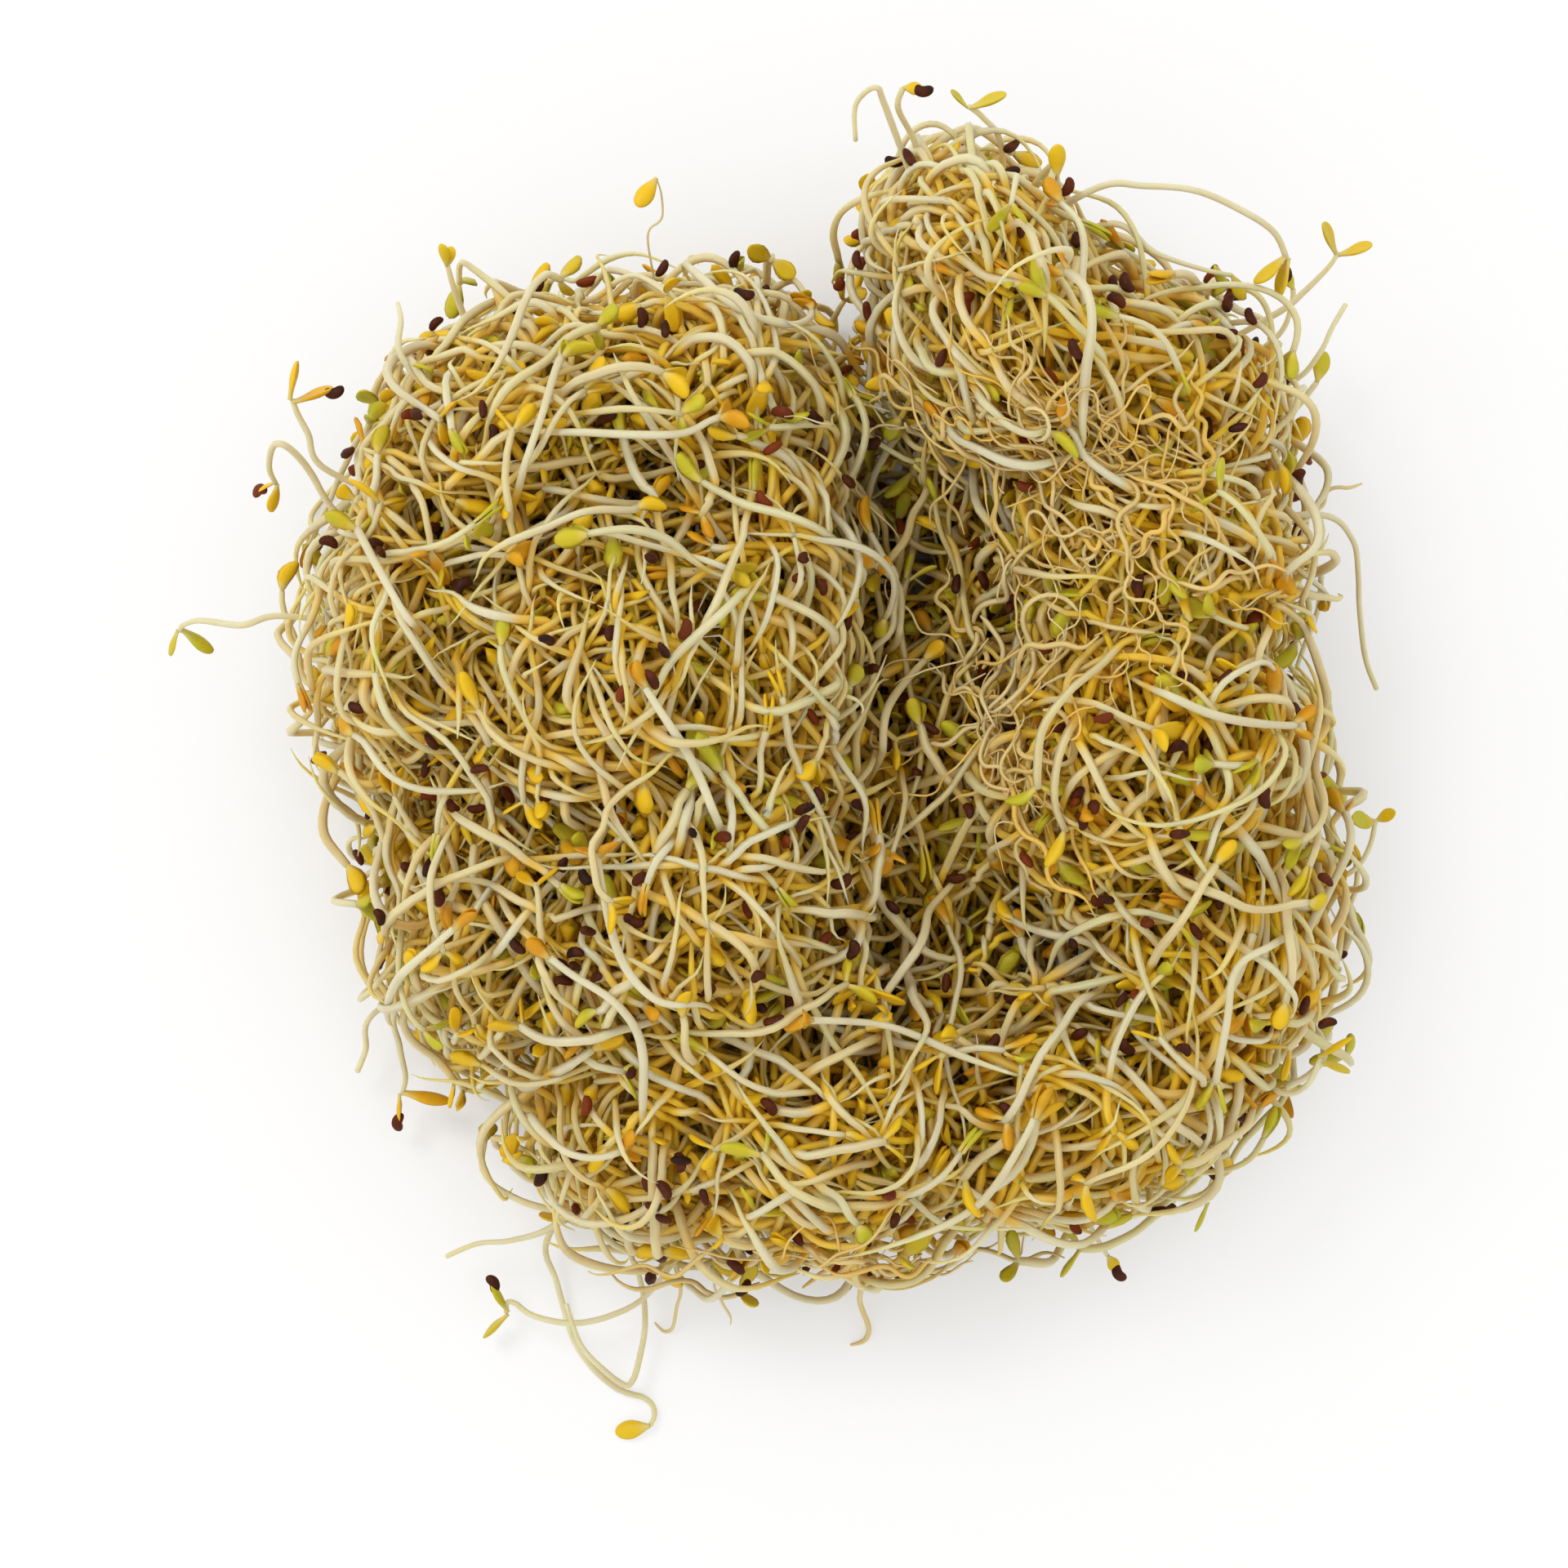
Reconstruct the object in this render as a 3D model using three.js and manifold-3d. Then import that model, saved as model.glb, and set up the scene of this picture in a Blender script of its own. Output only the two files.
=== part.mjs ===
// A clump of alfalfa sprouts, lying on a table as it was tipped out of its box.
//
// Hundreds of seedlings have grown through each other into one soft mat, folded over itself.
// The tangle is held here as sixteen tufts, one soft solid for each lobe and fold of the mat.
// The seedlings that stand clear of the tangle are modelled one by one. Each has grown as one
// piece: a stem that tapers into a root, with its seed leaves. The seed hulls that still cling
// to some of them are dead coats that come off, so each is a piece of its own.
//
// Millimetres, +Z up. The clump rests on z = 0, below the middle of its outline.

import Module from "manifold-3d";
import * as THREE from "three";
import { mergeVertices } from "three/addons/utils/BufferGeometryUtils.js";

// ---- driving dimensions, mm ----

// A seedling: a stem about a millimetre thick, a thinner root, and two spoon-shaped seed leaves.
const STEM_DIAMETER = 1.0;
const ROOT_DIAMETER = 0.6;
const STEM_SIDES = 6;
const STEM_STEP = 2.5;
const LEAF_WIDTH = 1.8;
const LEAF_THICKNESS = 0.7;
const LEAF_OVERLAP = 0.5;

// A seed hull: a small kidney-shaped coat, a little over two millimetres long.
const HULL_LENGTH = 2.3;
const HULL_WIDTH = 1.4;
const HULL_THICKNESS = 1.1;

// The tufts: how high the middle of each lies, as a share of its height, and how much room
// is kept between pieces that press on each other.
const TUFT_WAIST = 0.32;
const TUFT_DETAIL = 3;
const CLEARANCE = 0.3;
const SMALLEST_HALF_TUFT = 6;

// Each tuft: where its middle stands, how far it reaches along its own X and Y, how many degrees
// it is turned, and how high it is.
const TUFTS = [
  { name: "upper_left_tuft", middle: [-27.5, 36.5], reach: [18, 17.5], height: 42 },
  { name: "upper_middle_tuft", middle: [-10, 39.5], reach: [18.5, 18], height: 43 },
  { name: "left_tuft", middle: [-39.5, 16.5], reach: [16.5, 19.5], height: 40 },
  { name: "middle_tuft", middle: [-17, 15], reach: [20, 20], height: 49 },
  { name: "inner_ridge_tuft", middle: [0, 18], reach: [13, 23], height: 45 },
  { name: "lower_left_tuft", middle: [-32, -15], reach: [17.5, 20], height: 38 },
  { name: "centre_tuft", middle: [-8, -11.5], reach: [22, 19], height: 45 },
  { name: "bottom_left_tuft", middle: [-18, -38], reach: [16.5, 15], height: 31 },
  { name: "bottom_tuft", middle: [6, -36.5], reach: [19.5, 18.5], height: 36 },
  { name: "bottom_right_tuft", middle: [31.5, -33.5], reach: [20.5, 17.5], turn: 20, height: 34 },
  { name: "lower_right_tuft", middle: [47, -16.5], reach: [16, 19], height: 35 },
  { name: "right_tuft", middle: [39, 4.5], reach: [21.5, 17.5], height: 45 },
  { name: "right_shoulder_tuft", middle: [38, 25], reach: [20, 16.5], height: 44 },
  { name: "flap_tuft", middle: [21, 50.5], reach: [22, 14.5], turn: -64, height: 53 },
  { name: "flap_end_tuft", middle: [38.5, 41.5], reach: [18, 13], height: 43 },
  { name: "valley_tuft", middle: [15, 5], reach: [12, 40], turn: 5, height: 24 },
];

// Each seedling that stands clear: its stem runs from the leaf end to where it dives into the
// tangle. Each leaf, and the hull if one still clings, is given by where its far end is.
const SEEDLINGS = [
  {
    name: "left_reach",
    stem: [[-65, 16.5, 23], [-64.5, 17, 24.5], [-62.5, 17.5, 25.5], [-58, 17, 26], [-54.5, 18, 25],
      [-47.5, 17.5, 22]],
    leaves: [[-61.5, 14.5, 21], [-66.5, 14, 21]],
  },
  {
    name: "shoulder_pair",
    stem: [[-52.5, 41, 27], [-52, 39.5, 26], [-51, 37.5, 25], [-49.5, 34, 23], [-40.5, 30, 18]],
    leaves: [[-52, 45, 29], [-49.5, 40.5, 27]],
    hull: [-48, 42, 28],
  },
  {
    name: "drooping_hook",
    stem: [[-55, 32.5, 20], [-55.5, 34, 22], [-55, 36, 24], [-54, 36.5, 25], [-52.5, 35.5, 24],
      [-51, 33.5, 22], [-49, 30, 20], [-44, 24.5, 16]],
    leaves: [[-55.5, 29.5, 18]],
    hull: [-57, 32, 18],
  },
  {
    name: "green_tip",
    stem: [[-36, 55.5, 26], [-35.5, 53.5, 25], [-34.5, 50.5, 23], [-31.5, 42.5, 19]],
    leaves: [[-36.5, 57.5, 28], [-35.5, 57.5, 26]],
  },
  {
    name: "bare_spike",
    stem: [[-41, 51, 30], [-40.5, 49, 32], [-40.5, 45.5, 34], [-38, 42, 33], [-34, 38, 28]],
    leaves: [],
  },
  {
    name: "crown_root",
    stem: [[-13.5, 64, 32], [-13, 62.5, 31], [-13, 60, 30], [-14.5, 58, 29], [-13, 50, 23]],
    leaves: [[-15.5, 61, 33]],
    root: true,
  },
  {
    name: "flap_loop",
    stem: [[7.5, 67.5, 36], [7.5, 71, 38], [9.5, 72.5, 40], [10.5, 71, 38], [14, 63, 30]],
    leaves: [],
  },
  {
    name: "flap_hull_stem",
    stem: [[12.5, 73, 36], [12, 71, 35], [14, 67.5, 31], [16, 60, 28]],
    leaves: [],
    hull: [14.5, 73, 36],
  },
  {
    name: "flap_pair",
    stem: [[19.5, 71.5, 33], [21, 70.5, 32], [23, 68, 30], [23.5, 61, 25]],
    leaves: [[17.5, 73, 34], [23.5, 72.5, 34]],
  },
  {
    name: "flap_bud",
    stem: [[28.5, 63.5, 38], [28.5, 61.5, 37], [26, 57, 32]],
    leaves: [[28.5, 66.5, 40]],
  },
  {
    name: "long_loop",
    stem: [[53, 55.5, 33], [51.5, 58, 35], [48, 60, 37], [43, 62, 38], [37.5, 62.5, 38],
      [33, 62.5, 37], [25, 58.5, 32]],
    leaves: [[52.5, 51.5, 31], [49.5, 53, 33]],
  },
  {
    name: "side_stem",
    stem: [[47.5, 54, 30], [44, 54.5, 32], [39, 56, 34], [34.5, 59, 34], [26, 56, 30]],
    leaves: [[49, 51.5, 29]],
  },
  {
    name: "open_pair",
    stem: [[59.5, 57, 24], [58.5, 55.5, 23], [56, 53, 22], [53.5, 51, 21], [46, 47, 17]],
    leaves: [[57.5, 60, 26], [63, 57.5, 26]],
  },
  {
    name: "dark_tip",
    stem: [[55.5, 54, 16], [55.5, 52.5, 15], [54, 49, 13], [47, 44, 11]],
    leaves: [],
    hull: [54.5, 55.8, 17],
  },
  {
    name: "pale_point",
    stem: [[61.5, 52.5, 14], [60, 50, 14.5], [58.5, 47, 14.5], [55.5, 44, 13], [46, 40.5, 12]],
    leaves: [],
  },
  {
    name: "corner_leaf",
    stem: [[59, 44.5, 8], [57, 42, 9], [55.5, 40.5, 10], [52.5, 36, 12], [45, 31.5, 13]],
    leaves: [[60, 48, 7.5]],
  },
  {
    name: "curled_root",
    stem: [[63.5, 33, 12], [62, 32.5, 13], [60.5, 32.5, 13.5], [59.5, 32, 13.5], [59, 30.5, 14],
      [57.5, 29.5, 15], [55.5, 28.5, 16], [48, 27, 18]],
    leaves: [],
    root: true,
  },
  {
    name: "right_arch",
    stem: [[65.5, 10.5, 9], [64, 14, 11], [63, 19.5, 14], [62.5, 23, 17], [61.5, 26.5, 20],
      [58, 29, 22], [48, 28, 24]],
    leaves: [],
  },
  {
    name: "right_reach",
    stem: [[64.5, -4, 16], [64, -6.5, 16], [62.5, -9, 16.5], [59.5, -10.5, 17], [51, -12.5, 18]],
    leaves: [[66.6, -3, 17], [61.5, -4, 19]],
  },
  {
    name: "low_pair",
    stem: [[57.5, -29.5, 25], [56, -32.5, 24], [53, -33, 22], [47, -28, 18]],
    leaves: [[60.5, -27, 27], [60.5, -31, 26]],
  },
  {
    name: "bottom_fork",
    stem: [[47, -46.5, 5], [47.5, -44.5, 5.5], [48, -42, 6.5], [45, -38, 8], [38, -34, 10]],
    leaves: [[43.5, -47.5, 4], [46, -50, 4]],
  },
  {
    name: "dark_toe",
    stem: [[36, -52.5, 5], [34.5, -50, 6], [33, -47, 7.5], [31.5, -41, 9]],
    leaves: [],
    hull: [37.3, -54.3, 4.4],
  },
  {
    name: "root_tail_east",
    stem: [[7.5, -63, 0.4], [9, -62.5, 0.4], [9.5, -61, 1], [8.5, -58, 3], [8.5, -55.5, 6],
      [8, -47, 9]],
    leaves: [],
    root: true,
  },
  {
    name: "root_tail_middle",
    stem: [[-6, -60.5, 2], [-6, -59.5, 3], [-7, -57.5, 5], [-7.5, -54.5, 7], [-3, -47, 10]],
    leaves: [],
    root: true,
  },
  {
    name: "root_tail_west",
    stem: [[-14.5, -60.5, 0.4], [-13.5, -61.5, 0.4], [-12.5, -61, 1], [-12, -58.5, 3],
      [-11.5, -56, 5], [-12.5, -52, 7], [-16, -46, 9]],
    leaves: [],
    root: true,
  },
  {
    name: "long_hook",
    stem: [[-15, -72, 1], [-14.5, -70.5, 0.7], [-15.5, -69, 0.6], [-18.5, -68, 0.6],
      [-21.5, -65.5, 0.6], [-23.5, -62.5, 0.6], [-24.5, -59.5, 1], [-25.5, -55.5, 2.5],
      [-26.5, -51, 4], [-22, -44, 7]],
    leaves: [[-19, -72.8, 0.6]],
  },
  {
    name: "folded_stem",
    stem: [[-24, -57.5, 9.5], [-22.5, -62.5, 6], [-19.5, -66, 3.5], [-18, -67, 3], [-17, -67, 2.8],
      [-16, -63.5, 3], [-15.5, -60, 3.5], [-16, -55.5, 4], [-18, -50, 5], [-19, -44, 7]],
    leaves: [],
  },
  {
    name: "low_arc",
    stem: [[-31, -59, 4], [-30.5, -57.5, 4.5], [-28, -59.2, 5], [-23.5, -60, 5.5], [-19, -59, 6],
      [-15, -56.5, 7], [-10.5, -50, 9], [-7, -42, 11]],
    leaves: [[-33.5, -62, 3]],
    hull: [-32.5, -55.5, 5],
  },
  {
    name: "west_point",
    stem: [[-37.5, -52.5, 6], [-34, -51, 7], [-30, -50.5, 8], [-25, -48.5, 9.5], [-17.5, -41.5, 11]],
    leaves: [],
  },
  {
    name: "brown_foot",
    stem: [[-42.5, -34.5, 6], [-42, -32.5, 7], [-42.5, -29, 9], [-42.5, -24.5, 12],
      [-35.5, -18, 15]],
    leaves: [[-37, -35, 6]],
    hull: [-43, -37.5, 4.5],
  },
  {
    name: "left_spike",
    stem: [[-47.5, -32, 5], [-46.5, -29.5, 6], [-45.5, -25.5, 8], [-36.5, -20, 11]],
    leaves: [],
  },
];

// ---- materials ----

const tangled = new THREE.MeshStandardMaterial({ color: 0xc9b98a, roughness: 0.75, metalness: 0 });
const stemFlesh = new THREE.MeshStandardMaterial({ color: 0xe6dfc6, roughness: 0.4, metalness: 0 });
const rootFlesh = new THREE.MeshStandardMaterial({ color: 0xd9c69a, roughness: 0.6, metalness: 0 });
const hullCoat = new THREE.MeshStandardMaterial({ color: 0x4a1f14, roughness: 0.45, metalness: 0 });

// ---- closed solids, for joining and cutting ----

const wasm = await Module();
wasm.setup();

function toSolid(geometry) {
  const bare = geometry.clone();
  bare.deleteAttribute("normal");
  bare.deleteAttribute("uv");
  const merged = mergeVertices(bare, 1e-4);
  const mesh = new wasm.Mesh({
    numProp: 3,
    vertProperties: Float32Array.from(merged.attributes.position.array),
    triVerts: Uint32Array.from(merged.index.array),
  });
  return new wasm.Manifold(mesh);
}

function toGeometry(solid) {
  const mesh = solid.getMesh();
  const geometry = new THREE.BufferGeometry();
  geometry.setAttribute("position", new THREE.BufferAttribute(mesh.vertProperties, 3));
  geometry.setIndex(new THREE.BufferAttribute(mesh.triVerts, 1));
  geometry.computeVertexNormals();
  return geometry;
}

// A named mesh whose own origin is at `anchor`, and which stands there.
function pieceAt(name, solid, anchor, material) {
  const geometry = toGeometry(solid.translate([-anchor.x, -anchor.y, -anchor.z]));
  const mesh = new THREE.Mesh(geometry, material);
  mesh.name = name;
  mesh.position.copy(anchor);
  return mesh;
}

// ---- the tangle ----

function tuftMiddle(tuft) {
  return new THREE.Vector3(tuft.middle[0], tuft.middle[1], tuft.height * TUFT_WAIST);
}

function tuftHalves(tuft) {
  return new THREE.Vector3(tuft.reach[0], tuft.reach[1], tuft.height * (1 - TUFT_WAIST));
}

function tuftTurn(tuft) {
  return THREE.MathUtils.degToRad(tuft.turn ?? 0);
}

// An egg-shaped lobe, pressed flat where it lies on the table.
function wholeTuft(tuft) {
  const middle = tuftMiddle(tuft);
  const halves = tuftHalves(tuft);
  const lobe = mergeVertices(new THREE.IcosahedronGeometry(1, TUFT_DETAIL).deleteAttribute("uv"), 1e-4);
  lobe.scale(halves.x, halves.y, halves.z);
  lobe.rotateZ(tuftTurn(tuft));
  lobe.translate(middle.x, middle.y, middle.z);
  return toSolid(lobe).trimByPlane([0, 0, 1], 0);
}

// How far a tuft reaches from its middle in one direction.
function reachAlong(tuft, direction) {
  const halves = tuftHalves(tuft);
  const own = direction.clone().applyAxisAngle(new THREE.Vector3(0, 0, 1), -tuftTurn(tuft));
  return 1 / own.divide(halves).length();
}

// Two lobes that press on each other meet in a flat face between their middles.
function pressTogether(tufts, solids, i, j) {
  const middle = tuftMiddle(tufts[i]);
  const direction = tuftMiddle(tufts[j]).sub(middle);
  const distance = direction.length();
  direction.normalize();
  const near = reachAlong(tufts[i], direction);
  const far = reachAlong(tufts[j], direction);
  const meeting = middle.dot(direction) + (distance * near) / (near + far);
  const [x, y, z] = direction.toArray();
  solids[i] = solids[i].trimByPlane([-x, -y, -z], -meeting + CLEARANCE / 2);
  solids[j] = solids[j].trimByPlane([x, y, z], meeting + CLEARANCE / 2);
}

function pressedTufts(tufts) {
  const whole = tufts.map(wholeTuft);
  const solids = [...whole];
  for (let i = 0; i < tufts.length; i += 1) {
    for (let j = i + 1; j < tufts.length; j += 1) {
      if (whole[i].intersect(whole[j]).volume() > 0) {
        pressTogether(tufts, solids, i, j);
      }
    }
  }
  return solids;
}

// A tuft with a little room round it, which a stem is cut back to.
function roomRound(tuft, solid) {
  const middle = tuftMiddle(tuft).toArray();
  const back = middle.map((value) => -value);
  return solid.translate(back).scale(1 + CLEARANCE / SMALLEST_HALF_TUFT).translate(middle);
}

// ---- the seedlings ----

const asVector = (point) => new THREE.Vector3(...point);

// A round stem or root along a smooth curve.
function stemSolid(points, diameter) {
  const curve = new THREE.CatmullRomCurve3(points.map(asVector));
  const section = new THREE.Shape();
  for (let side = 0; side < STEM_SIDES; side += 1) {
    const angle = (side / STEM_SIDES) * 2 * Math.PI;
    const [x, y] = [Math.cos(angle), Math.sin(angle)].map((value) => (value * diameter) / 2);
    if (side === 0) {
      section.moveTo(x, y);
    } else {
      section.lineTo(x, y);
    }
  }
  const steps = Math.max(4, Math.round(curve.getLength() / STEM_STEP));
  return toSolid(new THREE.ExtrudeGeometry(section, { steps, extrudePath: curve, bevelEnabled: false }));
}

// An egg shape between two points, its flat side as level as it can lie.
function eggSolid(from, to, width, thickness) {
  const along = to.clone().sub(from);
  const length = along.length();
  along.normalize();
  const across = new THREE.Vector3(0, 0, 1).cross(along);
  if (across.length() < 0.1) {
    across.set(0, 1, 0);
  }
  across.normalize();
  const up = along.clone().cross(across);
  const egg = new THREE.SphereGeometry(0.5, 8, 5);
  egg.scale(length, width, thickness);
  egg.applyMatrix4(new THREE.Matrix4().makeBasis(along, across, up));
  const middle = from.clone().add(to).multiplyScalar(0.5);
  egg.translate(middle.x, middle.y, middle.z);
  return toSolid(egg);
}

// A seed leaf grows out of the end of the stem, so it starts a little inside it.
function leafSolid(base, tip) {
  const start = base.clone().add(base.clone().sub(tip).setLength(LEAF_OVERLAP));
  return eggSolid(start, tip, LEAF_WIDTH, LEAF_THICKNESS);
}

// Stem and seed leaves as one grown piece, cut back to where it comes out of the tangle.
function seedlingSolid(seedling, rooms) {
  const base = asVector(seedling.stem[0]);
  let solid = stemSolid(seedling.stem, seedling.root ? ROOT_DIAMETER : STEM_DIAMETER);
  for (const tip of seedling.leaves) {
    solid = solid.add(leafSolid(base, asVector(tip)));
  }
  for (const room of rooms) {
    solid = solid.subtract(room);
  }
  return solid.decompose().reduce((most, part) => (part.volume() > most.volume() ? part : most));
}

// The coat lies on from the end that it clings to, in line with it.
function hullSolid(seedling) {
  const far = asVector(seedling.hull);
  const near = asVector(seedling.stem[0]);
  const along = far.clone().sub(near).setLength(HULL_LENGTH / 2);
  return eggSolid(far.clone().sub(along), far.clone().add(along), HULL_WIDTH, HULL_THICKNESS);
}

// ---- the clump ----

const clump = new THREE.Group();
const tuftSolids = pressedTufts(TUFTS);

TUFTS.forEach((tuft, index) => {
  const anchor = new THREE.Vector3(tuft.middle[0], tuft.middle[1], 0);
  clump.add(pieceAt(tuft.name, tuftSolids[index], anchor, tangled));
});

const rooms = TUFTS.map((tuft, index) => roomRound(tuft, tuftSolids[index]));
for (const seedling of SEEDLINGS) {
  const anchor = asVector(seedling.stem[0]);
  const flesh = seedling.root ? rootFlesh : stemFlesh;
  clump.add(pieceAt(`seedling_${seedling.name}`, seedlingSolid(seedling, rooms), anchor, flesh));
  if (seedling.hull) {
    clump.add(pieceAt(`hull_${seedling.name}`, hullSolid(seedling), asVector(seedling.hull), hullCoat));
  }
}

// The origin lies on the table, below the middle of the whole outline.
const outline = new THREE.Box3().setFromObject(clump, true);
const centre = outline.getCenter(new THREE.Vector3());
clump.position.set(-centre.x, -centre.y, -outline.min.z);

export default clump;
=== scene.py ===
# A clump of alfalfa sprouts on a pale table. Nearly five thousand seedlings have grown through
# each other into one soft mat: pale stems that run on into tan roots, a pair of seed leaves on
# each, and the dark hulls of the seeds. The mat is folded over itself, with a deep hollow beside
# the fold. Metres, +Z up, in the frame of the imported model.

import math

import bpy
import numpy as np
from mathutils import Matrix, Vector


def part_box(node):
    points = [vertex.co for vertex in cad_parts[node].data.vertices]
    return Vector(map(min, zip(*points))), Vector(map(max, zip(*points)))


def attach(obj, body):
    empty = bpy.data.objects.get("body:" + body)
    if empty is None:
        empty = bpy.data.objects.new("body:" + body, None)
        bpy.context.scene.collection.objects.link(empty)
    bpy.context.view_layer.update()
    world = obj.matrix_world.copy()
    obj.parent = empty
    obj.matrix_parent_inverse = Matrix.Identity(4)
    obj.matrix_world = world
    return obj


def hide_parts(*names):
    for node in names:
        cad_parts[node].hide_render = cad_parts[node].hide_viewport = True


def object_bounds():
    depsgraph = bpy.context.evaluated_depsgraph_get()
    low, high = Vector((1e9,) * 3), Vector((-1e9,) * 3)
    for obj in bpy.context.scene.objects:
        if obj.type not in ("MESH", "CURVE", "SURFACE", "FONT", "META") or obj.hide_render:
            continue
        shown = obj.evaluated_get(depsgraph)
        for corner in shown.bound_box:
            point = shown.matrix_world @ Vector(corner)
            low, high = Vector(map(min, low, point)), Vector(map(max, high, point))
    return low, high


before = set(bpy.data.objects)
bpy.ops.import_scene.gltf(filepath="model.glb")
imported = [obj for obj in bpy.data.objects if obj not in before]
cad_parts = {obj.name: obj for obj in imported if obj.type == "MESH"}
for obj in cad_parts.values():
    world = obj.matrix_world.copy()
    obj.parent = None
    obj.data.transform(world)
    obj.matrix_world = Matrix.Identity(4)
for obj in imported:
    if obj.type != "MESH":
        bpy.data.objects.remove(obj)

cad_low, cad_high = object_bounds()


# ---- the table, the light and the camera ----
# A wide pale table, one large soft lamp above and to the left, and light from all round.
# The camera hangs straight above the clump and looks down on it.

scene = bpy.context.scene
TABLE_SIDE = 4.0
TABLE_COLOUR = (0.93, 0.93, 0.93, 1.0)
TABLE_WHITE = 0.62
# The table's own brightness starts this far from its middle, and is full this far: none of it
# is under the clump, where it would shine up through the gaps.
TABLE_WHITE_FROM, TABLE_WHITE_FULL = 0.035, 0.075
ROOM_LIGHT = 0.92
LAMP_PLACE = (-0.42, 0.40, 0.80)
LAMP_SIDE = 0.34
LAMP_POWER = 2.8
CAMERA_LENS = 110.0
CAMERA_SENSOR = 36.0
SEEN_WIDTH = 0.1684
SEEN_LEVEL = 0.024


def put(tree, kind, inputs=None, **settings):
    """Adds a node. Each input is a value for its socket, or another node's socket to link."""
    node = tree.nodes.new(kind)
    for name, value in settings.items():
        setattr(node, name, value)
    for name, value in (inputs or {}).items():
        if isinstance(value, bpy.types.NodeSocket):
            tree.links.new(value, node.inputs[name])
        else:
            node.inputs[name].default_value = value
    return node


def seen_directly(tree):
    """One where a ray comes straight from the camera, from a gloss or through something clear."""
    path = put(tree, "ShaderNodeLightPath")
    gloss = put(tree, "ShaderNodeMath", {0: path.outputs["Is Camera Ray"],
                                         1: path.outputs["Is Glossy Ray"]}, operation="MAXIMUM")
    clear = put(tree, "ShaderNodeMath", {0: gloss.outputs[0],
                                         1: path.outputs["Is Transmission Ray"]},
                operation="MAXIMUM")
    return clear.outputs[0]


def make_table():
    """A square just under the clump. Part of its brightness is its own, so the shadow is soft."""
    half = TABLE_SIDE / 2
    mesh = bpy.data.meshes.new("table")
    mesh.from_pydata([(-half, -half, 0), (half, -half, 0), (half, half, 0), (-half, half, 0)],
                     [], [(0, 1, 2, 3)])
    table = bpy.data.objects.new("table", mesh)
    scene.collection.objects.link(table)
    paint = bpy.data.materials.new("table_top")
    paint.use_nodes = True
    tree = paint.node_tree
    tree.nodes.clear()
    matt = put(tree, "ShaderNodeBsdfDiffuse", {"Color": TABLE_COLOUR})
    glow = put(tree, "ShaderNodeEmission", {"Color": (1, 1, 1, 1), "Strength": 1.0})
    place = put(tree, "ShaderNodeTexCoord")
    away = put(tree, "ShaderNodeVectorMath", {0: place.outputs["Object"]}, operation="LENGTH")
    clear = put(tree, "ShaderNodeMapRange",
                {"Value": away.outputs["Value"], "From Min": TABLE_WHITE_FROM,
                 "From Max": TABLE_WHITE_FULL, "To Max": TABLE_WHITE})
    share = put(tree, "ShaderNodeMath", {0: seen_directly(tree), 1: clear.outputs["Result"]},
                operation="MULTIPLY")
    mix = put(tree, "ShaderNodeMixShader", {0: share.outputs[0], 1: matt.outputs[0],
                                            2: glow.outputs[0]})
    put(tree, "ShaderNodeOutputMaterial", {"Surface": mix.outputs[0]})
    mesh.materials.append(paint)


def make_room():
    """Even light from all round, and white where it is seen directly."""
    room = bpy.data.worlds.new("room")
    room.use_nodes = True
    tree = room.node_tree
    tree.nodes.clear()
    plain = put(tree, "ShaderNodeBackground", {"Color": (1, 1, 1, 1), "Strength": ROOM_LIGHT})
    white = put(tree, "ShaderNodeBackground", {"Color": (1, 1, 1, 1), "Strength": 1.0})
    mix = put(tree, "ShaderNodeMixShader", {0: seen_directly(tree), 1: plain.outputs[0],
                                            2: white.outputs[0]})
    put(tree, "ShaderNodeOutputWorld", {"Surface": mix.outputs[0]})
    scene.world = room


def make_lamp():
    """A square soft lamp that faces the clump."""
    lamp = bpy.data.lights.new("soft_lamp", "AREA")
    lamp.size = LAMP_SIDE
    lamp.energy = LAMP_POWER
    holder = bpy.data.objects.new("soft_lamp", lamp)
    holder.location = LAMP_PLACE
    scene.collection.objects.link(holder)
    bpy.context.view_layer.update()
    holder.rotation_euler = holder.location.to_track_quat("Z", "Y").to_euler()


def make_camera():
    """Straight down, as far up as makes SEEN_WIDTH fill the picture at SEEN_LEVEL."""
    lens = bpy.data.cameras.new("camera")
    lens.lens = CAMERA_LENS
    lens.sensor_width = CAMERA_SENSOR
    lens.clip_start = 0.01
    lens.clip_end = 20.0
    holder = bpy.data.objects.new("camera", lens)
    holder.location = (0, 0, SEEN_LEVEL + SEEN_WIDTH * CAMERA_LENS / CAMERA_SENSOR)
    scene.collection.objects.link(holder)
    scene.camera = holder


make_table()
make_room()
make_lamp()
make_camera()
scene.view_settings.view_transform = "Standard"


# ---- the lobes of the mat ----
# The mat lies in lobes, ridges and folds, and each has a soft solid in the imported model. Here
# each is an egg shape of about the same place and size, and together they give the mat's
# outline, which the seedlings follow. Nothing else is inside: the mat is sprouts right through.

MM = 0.001
LOBE_WAIST = 0.32
MELT = 4.5 * MM
HALVINGS = 14

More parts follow.
